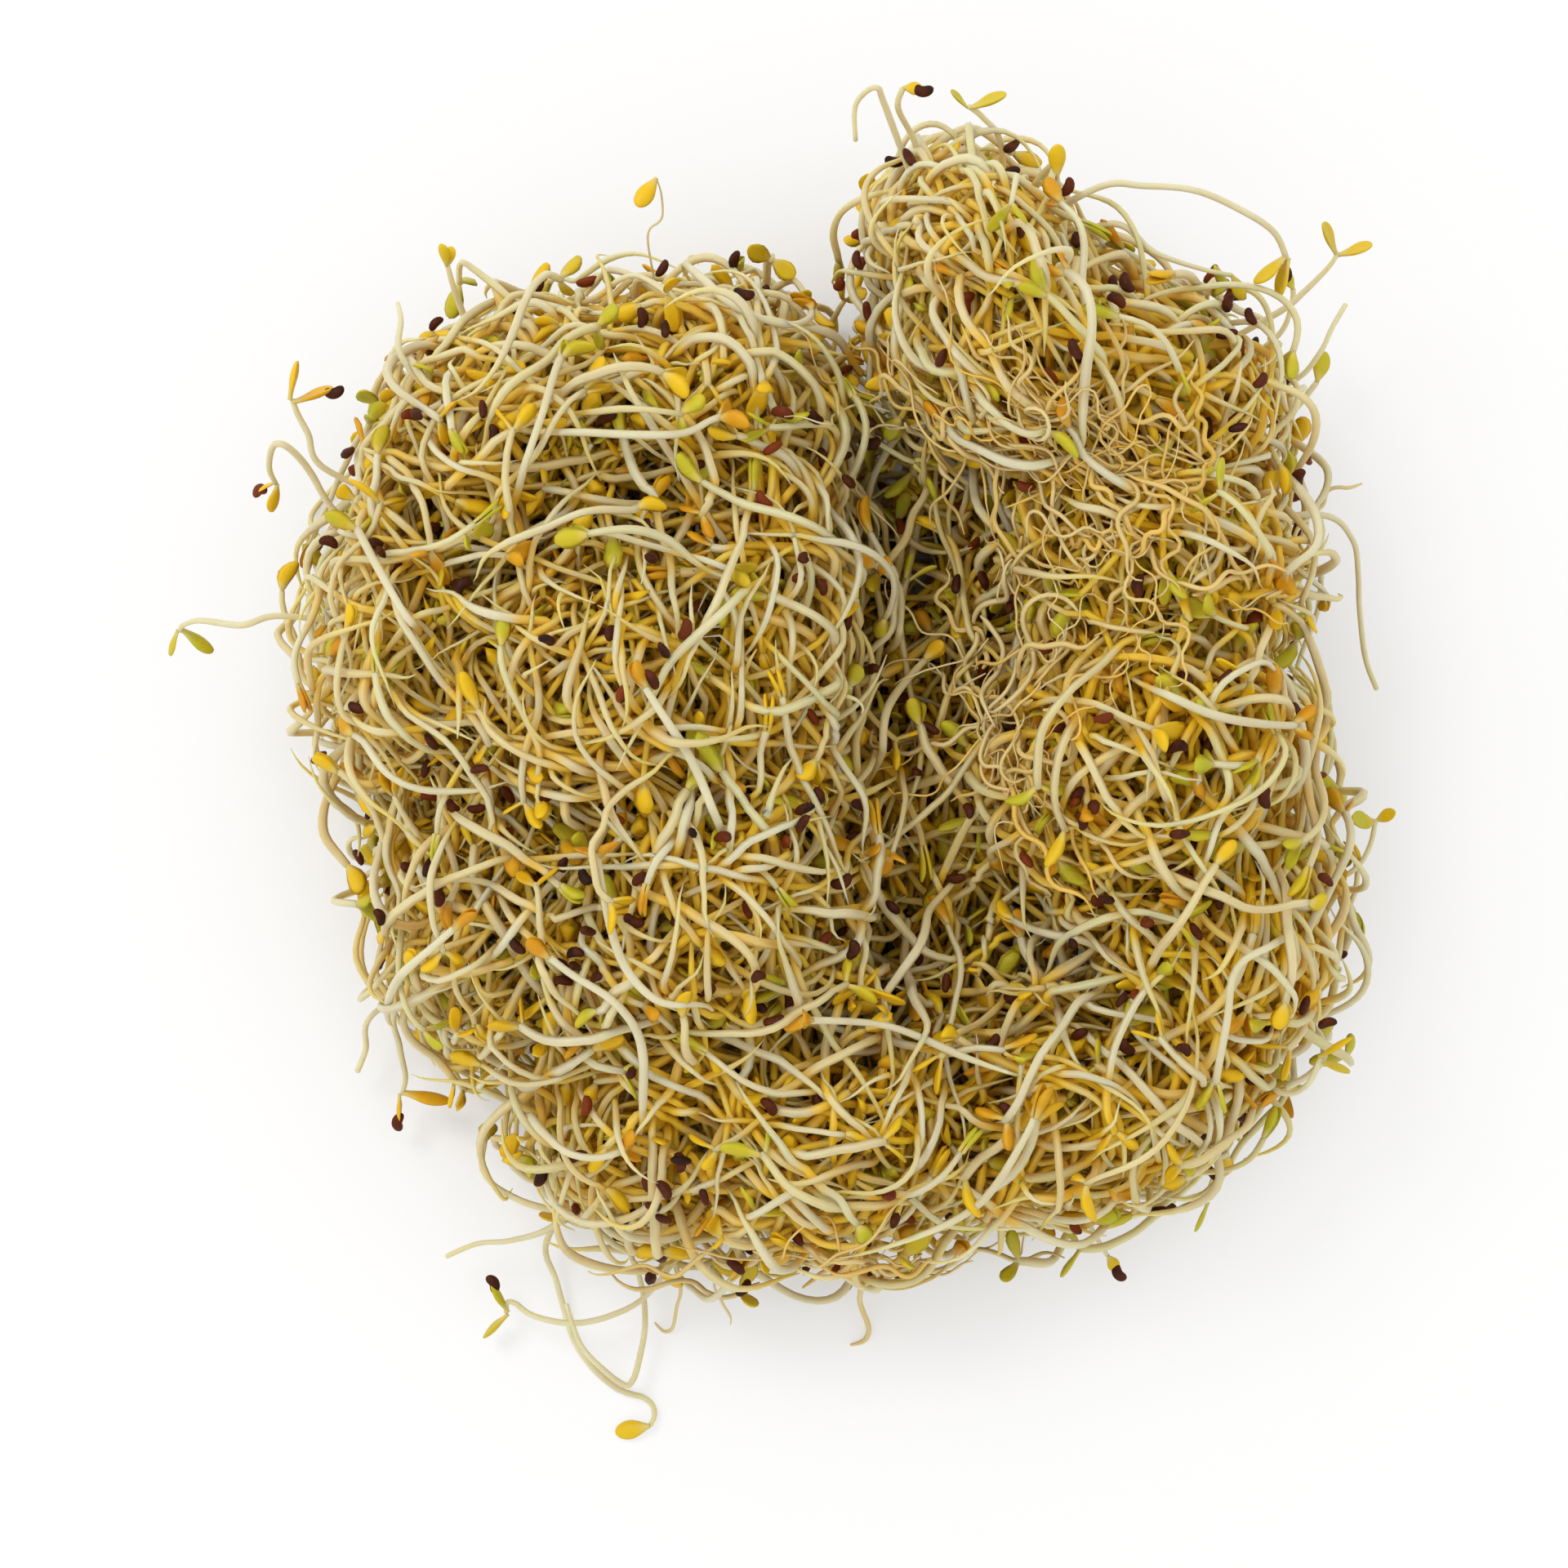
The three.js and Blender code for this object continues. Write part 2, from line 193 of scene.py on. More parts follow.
# Each lobe: its middle, how far it reaches along its own X and Y, how far it is turned, its
# grain, which is the way most of its stems run, from +X, and how far they stray from that.
# Millimetres and degrees. Its height is its solid's.
LOBES = {
    "upper_left_tuft": ((-27.5, 36.5), (18, 17.5), 0, 20, 60),
    "upper_middle_tuft": ((-10, 39.5), (18.5, 18), 0, -20, 70),
    "left_tuft": ((-38.5, 15.5), (15.5, 22), 0, -40, 65),
    "middle_tuft": ((-17, 13), (20, 24), 0, -35, 60),
    "inner_ridge_tuft": ((-1.5, 18), (12, 23), 0, -75, 26),
    "lower_left_tuft": ((-30, -13), (16.5, 20.5), 0, 15, 60),
    "centre_tuft": ((-9, -11.5), (21.5, 23), 0, -15, 60),
    "bottom_left_tuft": ((-15, -38), (15.5, 15), 0, 10, 60),
    "bottom_tuft": ((6, -36.5), (19.5, 18.5), 0, 25, 60),
    "bottom_right_tuft": ((31.5, -33.5), (20.5, 17), 20, 20, 60),
    "lower_right_tuft": ((45.5, -16.5), (17.5, 19), 0, 60, 60),
    "right_tuft": ((39.5, 3), (20.5, 20), 0, -10, 60),
    "right_shoulder_tuft": ((39, 25), (18.5, 16.5), 0, -10, 50),
    "flap_tuft": ((24.5, 49.5), (22.5, 14.5), -60, -45, 22),
    "flap_end_tuft": ((37.5, 43), (19, 14), -12, -30, 32),
    "valley_tuft": ((17, 1.5), (15, 40), 5, 80, 40),
}

# The hollow's floor lies lower than its solid, which also has to carry weight.
HOLLOW_SUNK = 0.76
HOLLOW = list(LOBES).index("valley_tuft")
lobe_heights = np.array([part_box(name)[1].z for name in LOBES])
lobe_heights[HOLLOW] *= HOLLOW_SUNK
lobe_turn, lobe_grain, lobe_stray = np.radians([lobe[2:] for lobe in LOBES.values()]).T
lobe_middle = np.array([(x * MM, y * MM, height * LOBE_WAIST)
                        for ((x, y), *_), height in zip(LOBES.values(), lobe_heights)])
lobe_half = np.array([(x * MM, y * MM, height * (1 - LOBE_WAIST))
                      for (_, (x, y), *_), height in zip(LOBES.values(), lobe_heights)])


def lobe_distances(points):
    """For each point and lobe, how far outside the lobe the point is, and the way out. Along the
    ray from the middle the distance is |p - c| (1 - 1/q), with q the length of (p - c) / half."""
    cos, sin = np.cos(lobe_turn), np.sin(lobe_turn)
    away = points[:, None, :] - lobe_middle
    own = np.stack([away[..., 0] * cos + away[..., 1] * sin,
                    away[..., 1] * cos - away[..., 0] * sin, away[..., 2]], -1) / lobe_half
    size = np.linalg.norm(own, axis=-1) + 1e-9
    distance = np.linalg.norm(away, axis=-1) * (1 - 1 / size)
    steep = own / lobe_half
    out = np.stack([steep[..., 0] * cos - steep[..., 1] * sin,
                    steep[..., 0] * sin + steep[..., 1] * cos, steep[..., 2]], -1)
    return distance, out / (np.linalg.norm(out, axis=-1, keepdims=True) + 1e-12)


def mat_distance(points):
    """How far each point is outside the mat (less than 0 inside), and the way out: the lobes'
    distances under a soft minimum, and their ways out with the same weights."""
    distance, out = lobe_distances(points)
    least = distance.min(1, keepdims=True)
    weight = np.exp((least - distance) / MELT)
    total = weight.sum(1)
    way = (out * weight[..., None]).sum(1)
    return (least[:, 0] - MELT * np.log(total),
            way / (np.linalg.norm(way, axis=-1, keepdims=True) + 1e-12))


def top_height(flat):
    """The height of the mat's upper face over each (x, y): halving from above and below."""
    low, high = np.full(len(flat), 2 * MM), np.full(len(flat), lobe_heights.max() * 1.1)
    for _ in range(HALVINGS):
        middle = (low + high) / 2
        inside = mat_distance(np.column_stack([flat, middle]))[0] < 0
        low, high = np.where(inside, middle, low), np.where(inside, high, middle)
    return low


def unit(vectors):
    """Each vector at length one."""
    return vectors / (np.linalg.norm(vectors, axis=-1, keepdims=True) + 1e-12)


# ---- how the seedlings of the tangle lie ----
# Each seedling lies along the mat at a depth of its own and weaves a little in and out. Where
# two would pass through each other they are pushed apart, as real stems lie over one another.

TAU = 2 * math.pi
rng = np.random.default_rng(20)
SEEDLINGS = 3800
DEEP_SEEDLINGS = 1000
# Each seedling is a row of stations from its leaf tips to its root tip. Up to LEAF_STATIONS is
# leaf, and from the share ROOT_START on it is root.
STATIONS = 38
LEAF_STATIONS = 6
ROOT_START = 0.74
LENGTH_RANGE = (19 * MM, 36 * MM)
DEEP_LENGTH_RANGE = (30 * MM, 46 * MM)
STEM_RADIUS = 0.42 * MM
ROOT_RADIUS = 0.19 * MM
LEAF_ROOM = 0.80 * MM
SHALLOW_TO = 8 * MM
DEEP_TO = 21 * MM
WEAVE = 2.2 * MM
QUICK_WEAVE = 0.7 * MM
PROUD = 0.3 * MM
CLIMB_SLOPE = 0.8
CLIMB_HASTE = 0.20
STRAY_OF_LOOSE_LOBES = math.radians(55)
# How tightly stems bend, as the radius of a bend of the usual strength.
STEADY_BEND, SLOW_BEND, KINK_BEND = 42 * MM, 23 * MM, 10 * MM
HOOK_BEND, ROOT_CURL = 4.0 * MM, 4.5 * MM
HOOKED = 0.2
TRIES = 60000
SHELL = 0.5 * MM
SEARCH_ROOM = 4 * MM
LOWEST_START = 0.6 * MM
LOWER_SIDE_SHARE = 0.45


def scattered(count, nearest, farthest, crowding):
    """Random points in the mat, fewer of them on its lower side, each with the depth it was taken
    at: depth = nearest + (farthest - nearest) * u ** crowding, u even between 0 and 1."""
    places, depths = [], []
    found = 0
    reach = lobe_half.max(1, keepdims=True) + SEARCH_ROOM
    low, high = (lobe_middle - reach).min(0), (lobe_middle + reach).max(0)
    low[2], high[2] = 0, lobe_heights.max() + SEARCH_ROOM
    while found < count:
        depth = nearest + (farthest - nearest) * rng.random(TRIES) ** crowding
        point = low + (high - low) * rng.random((TRIES, 3))
        distance, way = mat_distance(point)
        luck = rng.random(TRIES)
        upper = np.clip(way[:, 2] + 0.4, 0, 1)
        wanted = luck < LOWER_SIDE_SHARE + (1 - LOWER_SIDE_SHARE) * upper
        taken = (np.abs(distance + depth) < SHELL) & wanted & (point[:, 2] > LOWEST_START)
        places.append(point[taken])
        depths.append(depth[taken])
        found += int(taken.sum())
    return np.concatenate(places)[:count], np.concatenate(depths)[:count]


def first_heading(points):
    """A heading along the mat, near the grain of the nearest lobe, either way along it. On the
    mat's sides it also climbs or falls, up to 1.2 for each unit it runs on a wall."""
    distance, _ = lobe_distances(points)
    _, way = mat_distance(points)
    lobe = distance.argmin(1)
    angle = lobe_grain[lobe] + lobe_stray[lobe] * rng.normal(size=len(points))
    angle += math.pi * rng.integers(0, 2, len(points))
    steep = (0.3 + 0.9 * (1 - np.abs(way[:, 2]))) * rng.normal(size=len(points))
    flat = np.column_stack([np.cos(angle), np.sin(angle), steep])
    along = unit(flat - way * (flat * way).sum(1, keepdims=True))
    return unit(along + way * 0.35 * rng.normal(size=(len(points), 1)))


def grow(place, heading, length, depth, dive, turning, lift, reach, floor_gap, stations):
    """Routes that walk along the mat in equal steps. At every step the heading turns about the
    way out by `turning` (per metre, one value a step), and tips towards the depth that the
    seedling keeps, which starts `lift` further out, ends `dive` deeper, and weaves in a slow and
    a quick sine, never above PROUD. It tips by CLIMB_HASTE of what it lacks of a slope, which is
    the way still to climb over `reach`, up to CLIMB_SLOPE."""
    count = len(place)
    step = (length / (stations - 1))[:, None]
    weave_phase = TAU * rng.random(count)
    weave_turns = 0.7 + 1.5 * rng.random(count)
    quick_turns = 2.5 + 2.5 * rng.random(count)
    route = np.empty((count, stations, 3))
    for station in range(stations):
        route[:, station] = place
        share = station / (stations - 1)
        distance, way = mat_distance(place)
        wish = -depth - dive * share + WEAVE * np.sin(weave_phase + TAU * weave_turns * share)
        wish = wish + QUICK_WEAVE * np.sin(2 * weave_phase + TAU * quick_turns * share)
        wish = np.minimum(wish, PROUD + np.maximum(-depth, 0)) + lift * (1 - share) ** 3
        climb = np.clip((wish - distance) / reach, -1, 1)[:, None]
        rise = (heading * way).sum(1, keepdims=True)
        heading = heading + way * (CLIMB_SLOPE * climb - rise) * CLIMB_HASTE
        heading = heading + np.cross(way, heading) * turning[:, station:station + 1] * step
        heading = unit(heading)
        place = place + heading * step
        low = place[:, 2] < floor_gap
        place[low, 2] = floor_gap
        heading[low, 2] = np.abs(heading[low, 2]) * 0.2
    return route


def stem_turning(places, stations):
    """How fast each stem turns along its way, per metre: a steady bend, a slow sine, for HOOKED of
    them a hook below the leaves that dies away, small kinks, and a quick sine where the stem has
    become root. Where a lobe's grain is marked, its stems are straighter."""
    count = len(places)
    lobe = lobe_distances(places)[0].argmin(1)
    loose = np.clip(lobe_stray[lobe] / STRAY_OF_LOOSE_LOBES, 0.4, 1)[:, None]
    share = np.linspace(0, 1, stations)
    steady = rng.normal(0, 1 / STEADY_BEND, (count, 1))
    slow = rng.normal(0, 1 / SLOW_BEND, (count, 1))
    slow = slow * np.sin(TAU * (rng.random((count, 1)) + (0.5 + rng.random((count, 1))) * share))
    hook = rng.normal(0, 1 / HOOK_BEND, (count, 1)) * (rng.random((count, 1)) < HOOKED)
    hook = hook * np.exp(-share / 0.10)
    curl = rng.normal(0, 1 / ROOT_CURL, (count, 1))
    curl = curl * np.sin(TAU * (rng.random((count, 1)) + 4.0 * share))
    kinks = rng.normal(0, 1 / KINK_BEND, (count, stations))
    kinks = (np.roll(kinks, 1, axis=1) + 2 * kinks + np.roll(kinks, -1, axis=1)) / 4
    rooted = np.clip((share - ROOT_START) / 0.2, 0, 1)
    return (steady + slow + kinks) * loose + hook + curl * rooted


FORWARD_CELLS = [(x, y, z) for x in (-1, 0, 1) for y in (-1, 0, 1) for z in (-1, 0, 1)
                 if (x, y, z) >= (0, 0, 0)]
SETTLE_ROUNDS = 14
OWN_NEIGHBOURS = 5
EAGERNESS = 1.3
STRETCH_BACK = 0.25
LEAST_SHARE = 1e-9


def close_pairs(points, reach):
    """Every pair of points nearer than reach. The points are sorted into cubes of that side, and
    each is compared with those in its own cube and in the thirteen that come after it."""
    cell = np.floor((points - points.min(0)) / reach).astype(np.int64) + 1
    size = cell.max(0) + 2
    key = (cell[:, 0] * size[1] + cell[:, 1]) * size[2] + cell[:, 2]
    order = np.argsort(key, kind="stable")
    held = np.bincount(key, minlength=size.prod())
    start = np.concatenate([[0], np.cumsum(held)])
    firsts, seconds = [], []
    for x, y, z in FORWARD_CELLS:
        other = key + (x * size[1] + y) * size[2] + z
        for nth in range(int(held[other].max())):
            here = np.flatnonzero(held[other] > nth)
            there = order[start[other[here]] + nth]
            fresh = there > here if (x, y, z) == (0, 0, 0) else np.ones(len(here), bool)
            here, there = here[fresh], there[fresh]
            near = ((points[here] - points[there]) ** 2).sum(1) < reach ** 2
            firsts.append(here[near])
            seconds.append(there[near])
    return np.concatenate(firsts), np.concatenate(seconds)


def spread_along(moves):
    """Each station's move shared with its neighbours on the same stem, weights 1 2 3 2 1."""
    padded = np.pad(moves, ((0, 0), (2, 2), (0, 0)), mode="edge")
    stations = moves.shape[1]
    return sum(weight * padded[:, offset:offset + stations]
               for offset, weight in enumerate((1, 2, 3, 2, 1))) / 9


def settle(routes, radii, free, rounds):
    """Pushes stems apart. In each round, stations of different stems, or more than OWN_NEIGHBOURS
    apart on one, that are nearer than their radii together are moved apart along the line
    between them, by EAGERNESS times the overlap and in shares by how free each is. The moves are
    spread along each stem, so that it bends instead of kinking, and each step is drawn back by
    STRETCH_BACK of what it lacks of its length."""
    count, stations, _ = routes.shape
    step = np.linalg.norm(np.diff(routes, axis=1), axis=2).mean(1)[:, None, None]
    radius = radii.ravel()
    loose = np.repeat(free, stations)
    for _ in range(rounds):
        points = routes.reshape(-1, 3)
        here, there = close_pairs(points, 2 * radius.max())
        apart = points[here] - points[there]
        distance = np.linalg.norm(apart, axis=1) + 1e-9
        overlap = radius[here] + radius[there] - distance
        far_along = np.abs(here - there) > OWN_NEIGHBOURS
        hit = (overlap > 0) & ((here // stations != there // stations) | far_along)
        here, there = here[hit], there[hit]
        push = apart[hit] / distance[hit, None] * overlap[hit, None]
        share = loose[here] / np.maximum(loose[here] + loose[there], LEAST_SHARE)
        moves = np.zeros_like(points)
        for axis in range(3):
            moves[:, axis] += np.bincount(here, push[:, axis] * share, len(points))
            moves[:, axis] -= np.bincount(there, push[:, axis] * (1 - share), len(points))
        moves *= loose[:, None]
        longest = np.linalg.norm(moves, axis=1, keepdims=True)
        moves *= np.minimum(1, STEM_RADIUS / (longest + 1e-12))
        routes = routes + EAGERNESS * spread_along(moves.reshape(count, stations, 3))
        links = np.diff(routes, axis=1)
        length = np.linalg.norm(links, axis=2, keepdims=True)
        pull = STRETCH_BACK * links * (1 - step / length) * free[:, None, None]
        routes[:, :-1] += pull
        routes[:, 1:] -= pull
        bottom = radii * 0.9
        routes[..., 2] = np.where(free[:, None] > 0, np.maximum(routes[..., 2], bottom),
                                  routes[..., 2])
    return routes


COUNTED_CELL = 4 * MM
ENOUGH_TO_COUNT = 30
TOP_LAYER = 1.2 * MM
RAISED_FROM = 5 * MM
RAISED_TO = 0.5 * MM
# A cell this thickly covered gives nothing, and one this thinly covered gives the full lift.
WELL_COVERED, BARE = 1.15, 0.55


def raised_where_thin(routes):
    """Lifts half of the stems just under the mat's top layer up into it, where it is thin. Its
    thickness is the stations within TOP_LAYER of the surface, counted in square cells seen from
    above, each cell with its four neighbours, and set against the middle one of all cells."""
    count, stations, _ = routes.shape
    points = routes.reshape(-1, 3)
    outside, way = mat_distance(points)
    cell = np.floor((points[:, :2] - points[:, :2].min(0)) / COUNTED_CELL).astype(int) + 1
    width = cell.max() + 2
    key = cell[:, 0] * width + cell[:, 1]
    upper = way[:, 2] > 0.5
    held = np.bincount(key[upper & (outside > -TOP_LAYER)], minlength=width ** 2)
    held = sum(np.roll(held, shift) for shift in (0, 1, -1, width, -width))
    full = np.bincount(key[upper], minlength=width ** 2) > ENOUGH_TO_COUNT
    cover = held[key] / np.median(held[full])
    thin = np.clip((WELL_COVERED - cover) / (WELL_COVERED - BARE), 0, 1)
    under = upper & (-outside > 2 * RAISED_TO) & (-outside < RAISED_FROM)
    moves = way * ((-outside - RAISED_TO) * thin * under)[:, None]
    moves = moves.reshape(count, stations, 3) * (rng.random((count, 1, 1)) < 0.5)
    return routes + spread_along(spread_along(moves))


def seedling_radii(thickness, stations):
    """A stem's radius along its way: four fifths of its full size under the leaves, full from
    0.45 on, narrowing as a smooth step into the root, and the root's last tenth tapers."""
    share = np.linspace(0, 1, stations)
    neck = 0.80 + 0.20 * np.sin(np.clip(share / 0.45, 0, 1) * math.pi / 2)
    step = np.clip((share - ROOT_START + 0.14) / 0.34, 0, 1)
    step = step * step * (3 - 2 * step)
    radius = STEM_RADIUS * neck * (1 - step) + ROOT_RADIUS * step
    radius = radius * (1 - 0.75 * np.clip((share - 0.9) / 0.1, 0, 1))
    return thickness[:, None] * radius


# ---- the seedlings that stand clear, and the ones that lie on top ----
# About thirty seedlings stick out of the mat all round, and each is a piece of its own in the
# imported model. Others lie in plain sight on its top. All run on into the mat, and there the
# rest of their stem and root is grown as the others are.

# Each stray: its stem from the leaf end to where it dives in, its leaves and its hull by where
# their far ends are, and whether it is all root. Millimetres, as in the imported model's source.
STRAYS = {
    "left_reach": dict(
        stem=[(-65, 16.5, 23), (-64.5, 17, 24.5), (-62.5, 17.5, 25.5), (-58, 17, 26),
              (-54.5, 18, 25), (-47.5, 17.5, 22)],
        leaves=[(-61.5, 14.5, 21), (-66.5, 14, 21)]),
    "shoulder_pair": dict(
        stem=[(-52.5, 41, 27), (-52, 39.5, 26), (-51, 37.5, 25), (-49.5, 34, 23),
              (-40.5, 30, 18)],
        leaves=[(-52, 45, 29), (-49.5, 40.5, 27)], hull=(-48, 42, 28)),
    "drooping_hook": dict(
        stem=[(-55, 32.5, 20), (-55.5, 34, 22), (-55, 36, 24), (-54, 36.5, 25),
              (-52.5, 35.5, 24), (-51, 33.5, 22), (-49, 30, 20), (-44, 24.5, 16)],
        leaves=[(-55.5, 29.5, 18)], hull=(-57, 32, 18)),
    "green_tip": dict(
        stem=[(-36, 55.5, 26), (-35.5, 53.5, 25), (-34.5, 50.5, 23), (-31.5, 42.5, 19)],
        leaves=[(-36.5, 57.5, 28), (-35.5, 57.5, 26)]),
    "bare_spike": dict(
        stem=[(-41, 51, 30), (-40.5, 49, 32), (-40.5, 45.5, 34), (-38, 42, 33), (-34, 38, 28)]),
    "crown_root": dict(
        stem=[(-13.5, 64, 32), (-13, 62.5, 31), (-13, 60, 30), (-14.5, 58, 29), (-13, 50, 23)],
        leaves=[(-15.5, 61, 33)], root=True),
    "flap_loop": dict(
        stem=[(7.5, 67.5, 36), (7.5, 71, 38), (9.5, 72.5, 40), (10.5, 71, 38), (14, 63, 30)]),
    "flap_hull_stem": dict(
        stem=[(12.5, 73, 36), (12, 71, 35), (14, 67.5, 31), (16, 60, 28)], hull=(14.5, 73, 36)),
    "flap_pair": dict(
        stem=[(19.5, 71.5, 33), (21, 70.5, 32), (23, 68, 30), (23.5, 61, 25)],
        leaves=[(17.5, 73, 34), (23.5, 72.5, 34)]),
    "flap_bud": dict(
        stem=[(28.5, 63.5, 38), (28.5, 61.5, 37), (26, 57, 32)], leaves=[(28.5, 66.5, 40)]),
    "long_loop": dict(
        stem=[(53, 55.5, 33), (51.5, 58, 35), (48, 60, 37), (43, 62, 38), (37.5, 62.5, 38),
              (33, 62.5, 37), (25, 58.5, 32)],
        leaves=[(52.5, 51.5, 31), (49.5, 53, 33)]),
    "side_stem": dict(
        stem=[(47.5, 54, 30), (44, 54.5, 32), (39, 56, 34), (34.5, 59, 34), (26, 56, 30)],
        leaves=[(49, 51.5, 29)]),
    "open_pair": dict(
        stem=[(59.5, 57, 24), (58.5, 55.5, 23), (56, 53, 22), (53.5, 51, 21), (46, 47, 17)],
        leaves=[(57.5, 60, 26), (63, 57.5, 26)]),
    "dark_tip": dict(
        stem=[(55.5, 54, 16), (55.5, 52.5, 15), (54, 49, 13), (47, 44, 11)],
        hull=(54.5, 55.8, 17)),
    "pale_point": dict(
        stem=[(61.5, 52.5, 14), (60, 50, 14.5), (58.5, 47, 14.5), (55.5, 44, 13),
              (46, 40.5, 12)]),
    "corner_leaf": dict(
        stem=[(59, 44.5, 8), (57, 42, 9), (55.5, 40.5, 10), (52.5, 36, 12), (45, 31.5, 13)],
        leaves=[(60, 48, 7.5)]),
    "curled_root": dict(
        stem=[(63.5, 33, 12), (62, 32.5, 13), (60.5, 32.5, 13.5), (59.5, 32, 13.5),
              (59, 30.5, 14), (57.5, 29.5, 15), (55.5, 28.5, 16), (48, 27, 18)], root=True),
    "right_arch": dict(
        stem=[(65.5, 10.5, 9), (64, 14, 11), (63, 19.5, 14), (62.5, 23, 17), (61.5, 26.5, 20),
              (58, 29, 22), (48, 28, 24)]),
    "right_reach": dict(
        stem=[(64.5, -4, 16), (64, -6.5, 16), (62.5, -9, 16.5), (59.5, -10.5, 17),
              (51, -12.5, 18)],
        leaves=[(66.6, -3, 17), (61.5, -4, 19)]),
    "low_pair": dict(
        stem=[(57.5, -29.5, 25), (56, -32.5, 24), (53, -33, 22), (47, -28, 18)],
        leaves=[(60.5, -27, 27), (60.5, -31, 26)]),
    "bottom_fork": dict(
        stem=[(47, -46.5, 5), (47.5, -44.5, 5.5), (48, -42, 6.5), (45, -38, 8), (38, -34, 10)],
        leaves=[(43.5, -47.5, 4), (46, -50, 4)]),
    "dark_toe": dict(
        stem=[(36, -52.5, 5), (34.5, -50, 6), (33, -47, 7.5), (31.5, -41, 9)],
        hull=(37.3, -54.3, 4.4)),
    "root_tail_east": dict(
        stem=[(7.5, -63, 0.4), (9, -62.5, 0.4), (9.5, -61, 1), (8.5, -58, 3), (8.5, -55.5, 6),
              (8, -47, 9)], root=True),
    "root_tail_middle": dict(
        stem=[(-6, -60.5, 2), (-6, -59.5, 3), (-7, -57.5, 5), (-7.5, -54.5, 7), (-3, -47, 10)],
        root=True),
    "root_tail_west": dict(
        stem=[(-14.5, -60.5, 0.4), (-13.5, -61.5, 0.4), (-12.5, -61, 1), (-12, -58.5, 3),
              (-11.5, -56, 5), (-12.5, -52, 7), (-16, -46, 9)], root=True),
    "long_hook": dict(
        stem=[(-15, -72, 1), (-14.5, -70.5, 0.7), (-15.5, -69, 0.6), (-18.5, -68, 0.6),
              (-21.5, -65.5, 0.6), (-23.5, -62.5, 0.6), (-24.5, -59.5, 1), (-25.5, -55.5, 2.5),
              (-26.5, -51, 4), (-22, -44, 7)],
        leaves=[(-19, -72.8, 0.6)]),
    "folded_stem": dict(
        stem=[(-24, -57.5, 9.5), (-22.5, -62.5, 6), (-19.5, -66, 3.5), (-18, -67, 3),
              (-17, -67, 2.8), (-16, -63.5, 3), (-15.5, -60, 3.5), (-16, -55.5, 4),
              (-18, -50, 5), (-19, -44, 7)]),
    "low_arc": dict(
        stem=[(-31, -59, 4), (-30.5, -57.5, 4.5), (-28, -59.2, 5), (-23.5, -60, 5.5),
              (-19, -59, 6), (-15, -56.5, 7), (-10.5, -50, 9), (-7, -42, 11)],
        leaves=[(-33.5, -62, 3)], hull=(-32.5, -55.5, 5)),
    "west_point": dict(
        stem=[(-37.5, -52.5, 6), (-34, -51, 7), (-30, -50.5, 8), (-25, -48.5, 9.5),
              (-17.5, -41.5, 11)]),
    "brown_foot": dict(
        stem=[(-42.5, -34.5, 6), (-42, -32.5, 7), (-42.5, -29, 9), (-42.5, -24.5, 12),
              (-35.5, -18, 15)],
        leaves=[(-37, -35, 6)], hull=(-43, -37.5, 4.5)),
    "left_spike": dict(
        stem=[(-47.5, -32, 5), (-46.5, -29.5, 6), (-45.5, -25.5, 8), (-36.5, -20, 11)]),
}

# Stems in plain sight on the top of the mat, from the leaf end, by (x, y) in millimetres.
TOP_STEMS = [
    [(-19.7, -3.5), (-18.6, -11.4), (-16.7, -18.4), (-13.2, -22.4), (-9.6, -22.8)],
    [(-28.1, -14.9), (-22.8, -19.3), (-17.5, -22.8), (-14.9, -27.2), (-14.9, -34.2)],
    [(-16.2, 14.0), (-14.0, 9.6), (-9.6, 2.6), (-7.0, -3.5)],
    [(-31.6, -12.7), (-36.8, -17.1), (-41.2, -21.1), (-43.0, -26.3), (-42.1, -32.5)],
    [(-2.6, 38.6), (-7.0, 37.7), (-11.4, 36.0), (-22.8, 36.4)],
    [(-19.3, 45.6), (-22.8, 44.7), (-25.0, 38.0), (-27.2, 31.6)],
    [(27.6, -31.6), (24.6, -38.6), (19.3, -45.6), (7.9, -50.0), (3.5, -50.0)],
    [(0, -24.6), (10.5, -25.4), (19.3, -28.9), (24.6, -30.7)],
    [(56.1, 6.6), (51.8, 6.1), (44.7, 7.0), (38.6, 9.6)],
    [(8.8, 23.7), (12.3, 21.1), (12.3, 15.8)],
    [(17.5, 15.8), (11.4, 8.8), (10.5, 3.5)],
    [(0, 51.8), (2.6, 50.9), (2.6, 49.1), (0, 48.2), (-5.3, 50.0), (-10.5, 55.3)],
    [(44.7, -36.8), (46.5, -25.4), (47.4, -19.3), (51.8, -16.7)],
    [(-46.5, 29.8), (-40.4, 19.3), (-38.6, 16.7)],
]
TOP_LIFT = 0.9 * MM
TOP_ENDS = 1.5 * MM
FINE_STEPS = 200


def between(values, at):
    """The smooth curve through the values of each row, read at the fractional indices `at`: on
    each span a cubic that leaves and arrives with the slope of the chord across its end."""
    last = values.shape[1] - 1
    index = np.clip(np.floor(at).astype(int), 0, last - 1)
    part = (at - index)[..., None]
    row = np.arange(len(values))[:, None]
    before, here, after, beyond = [values[row, np.clip(index + offset, 0, last)]
                                   for offset in (-1, 0, 1, 2)]
    return 0.5 * (2 * here + (after - before) * part
                  + (2 * before - 5 * here + 4 * after - beyond) * part ** 2
                  + (3 * here - before - 3 * after + beyond) * part ** 3)


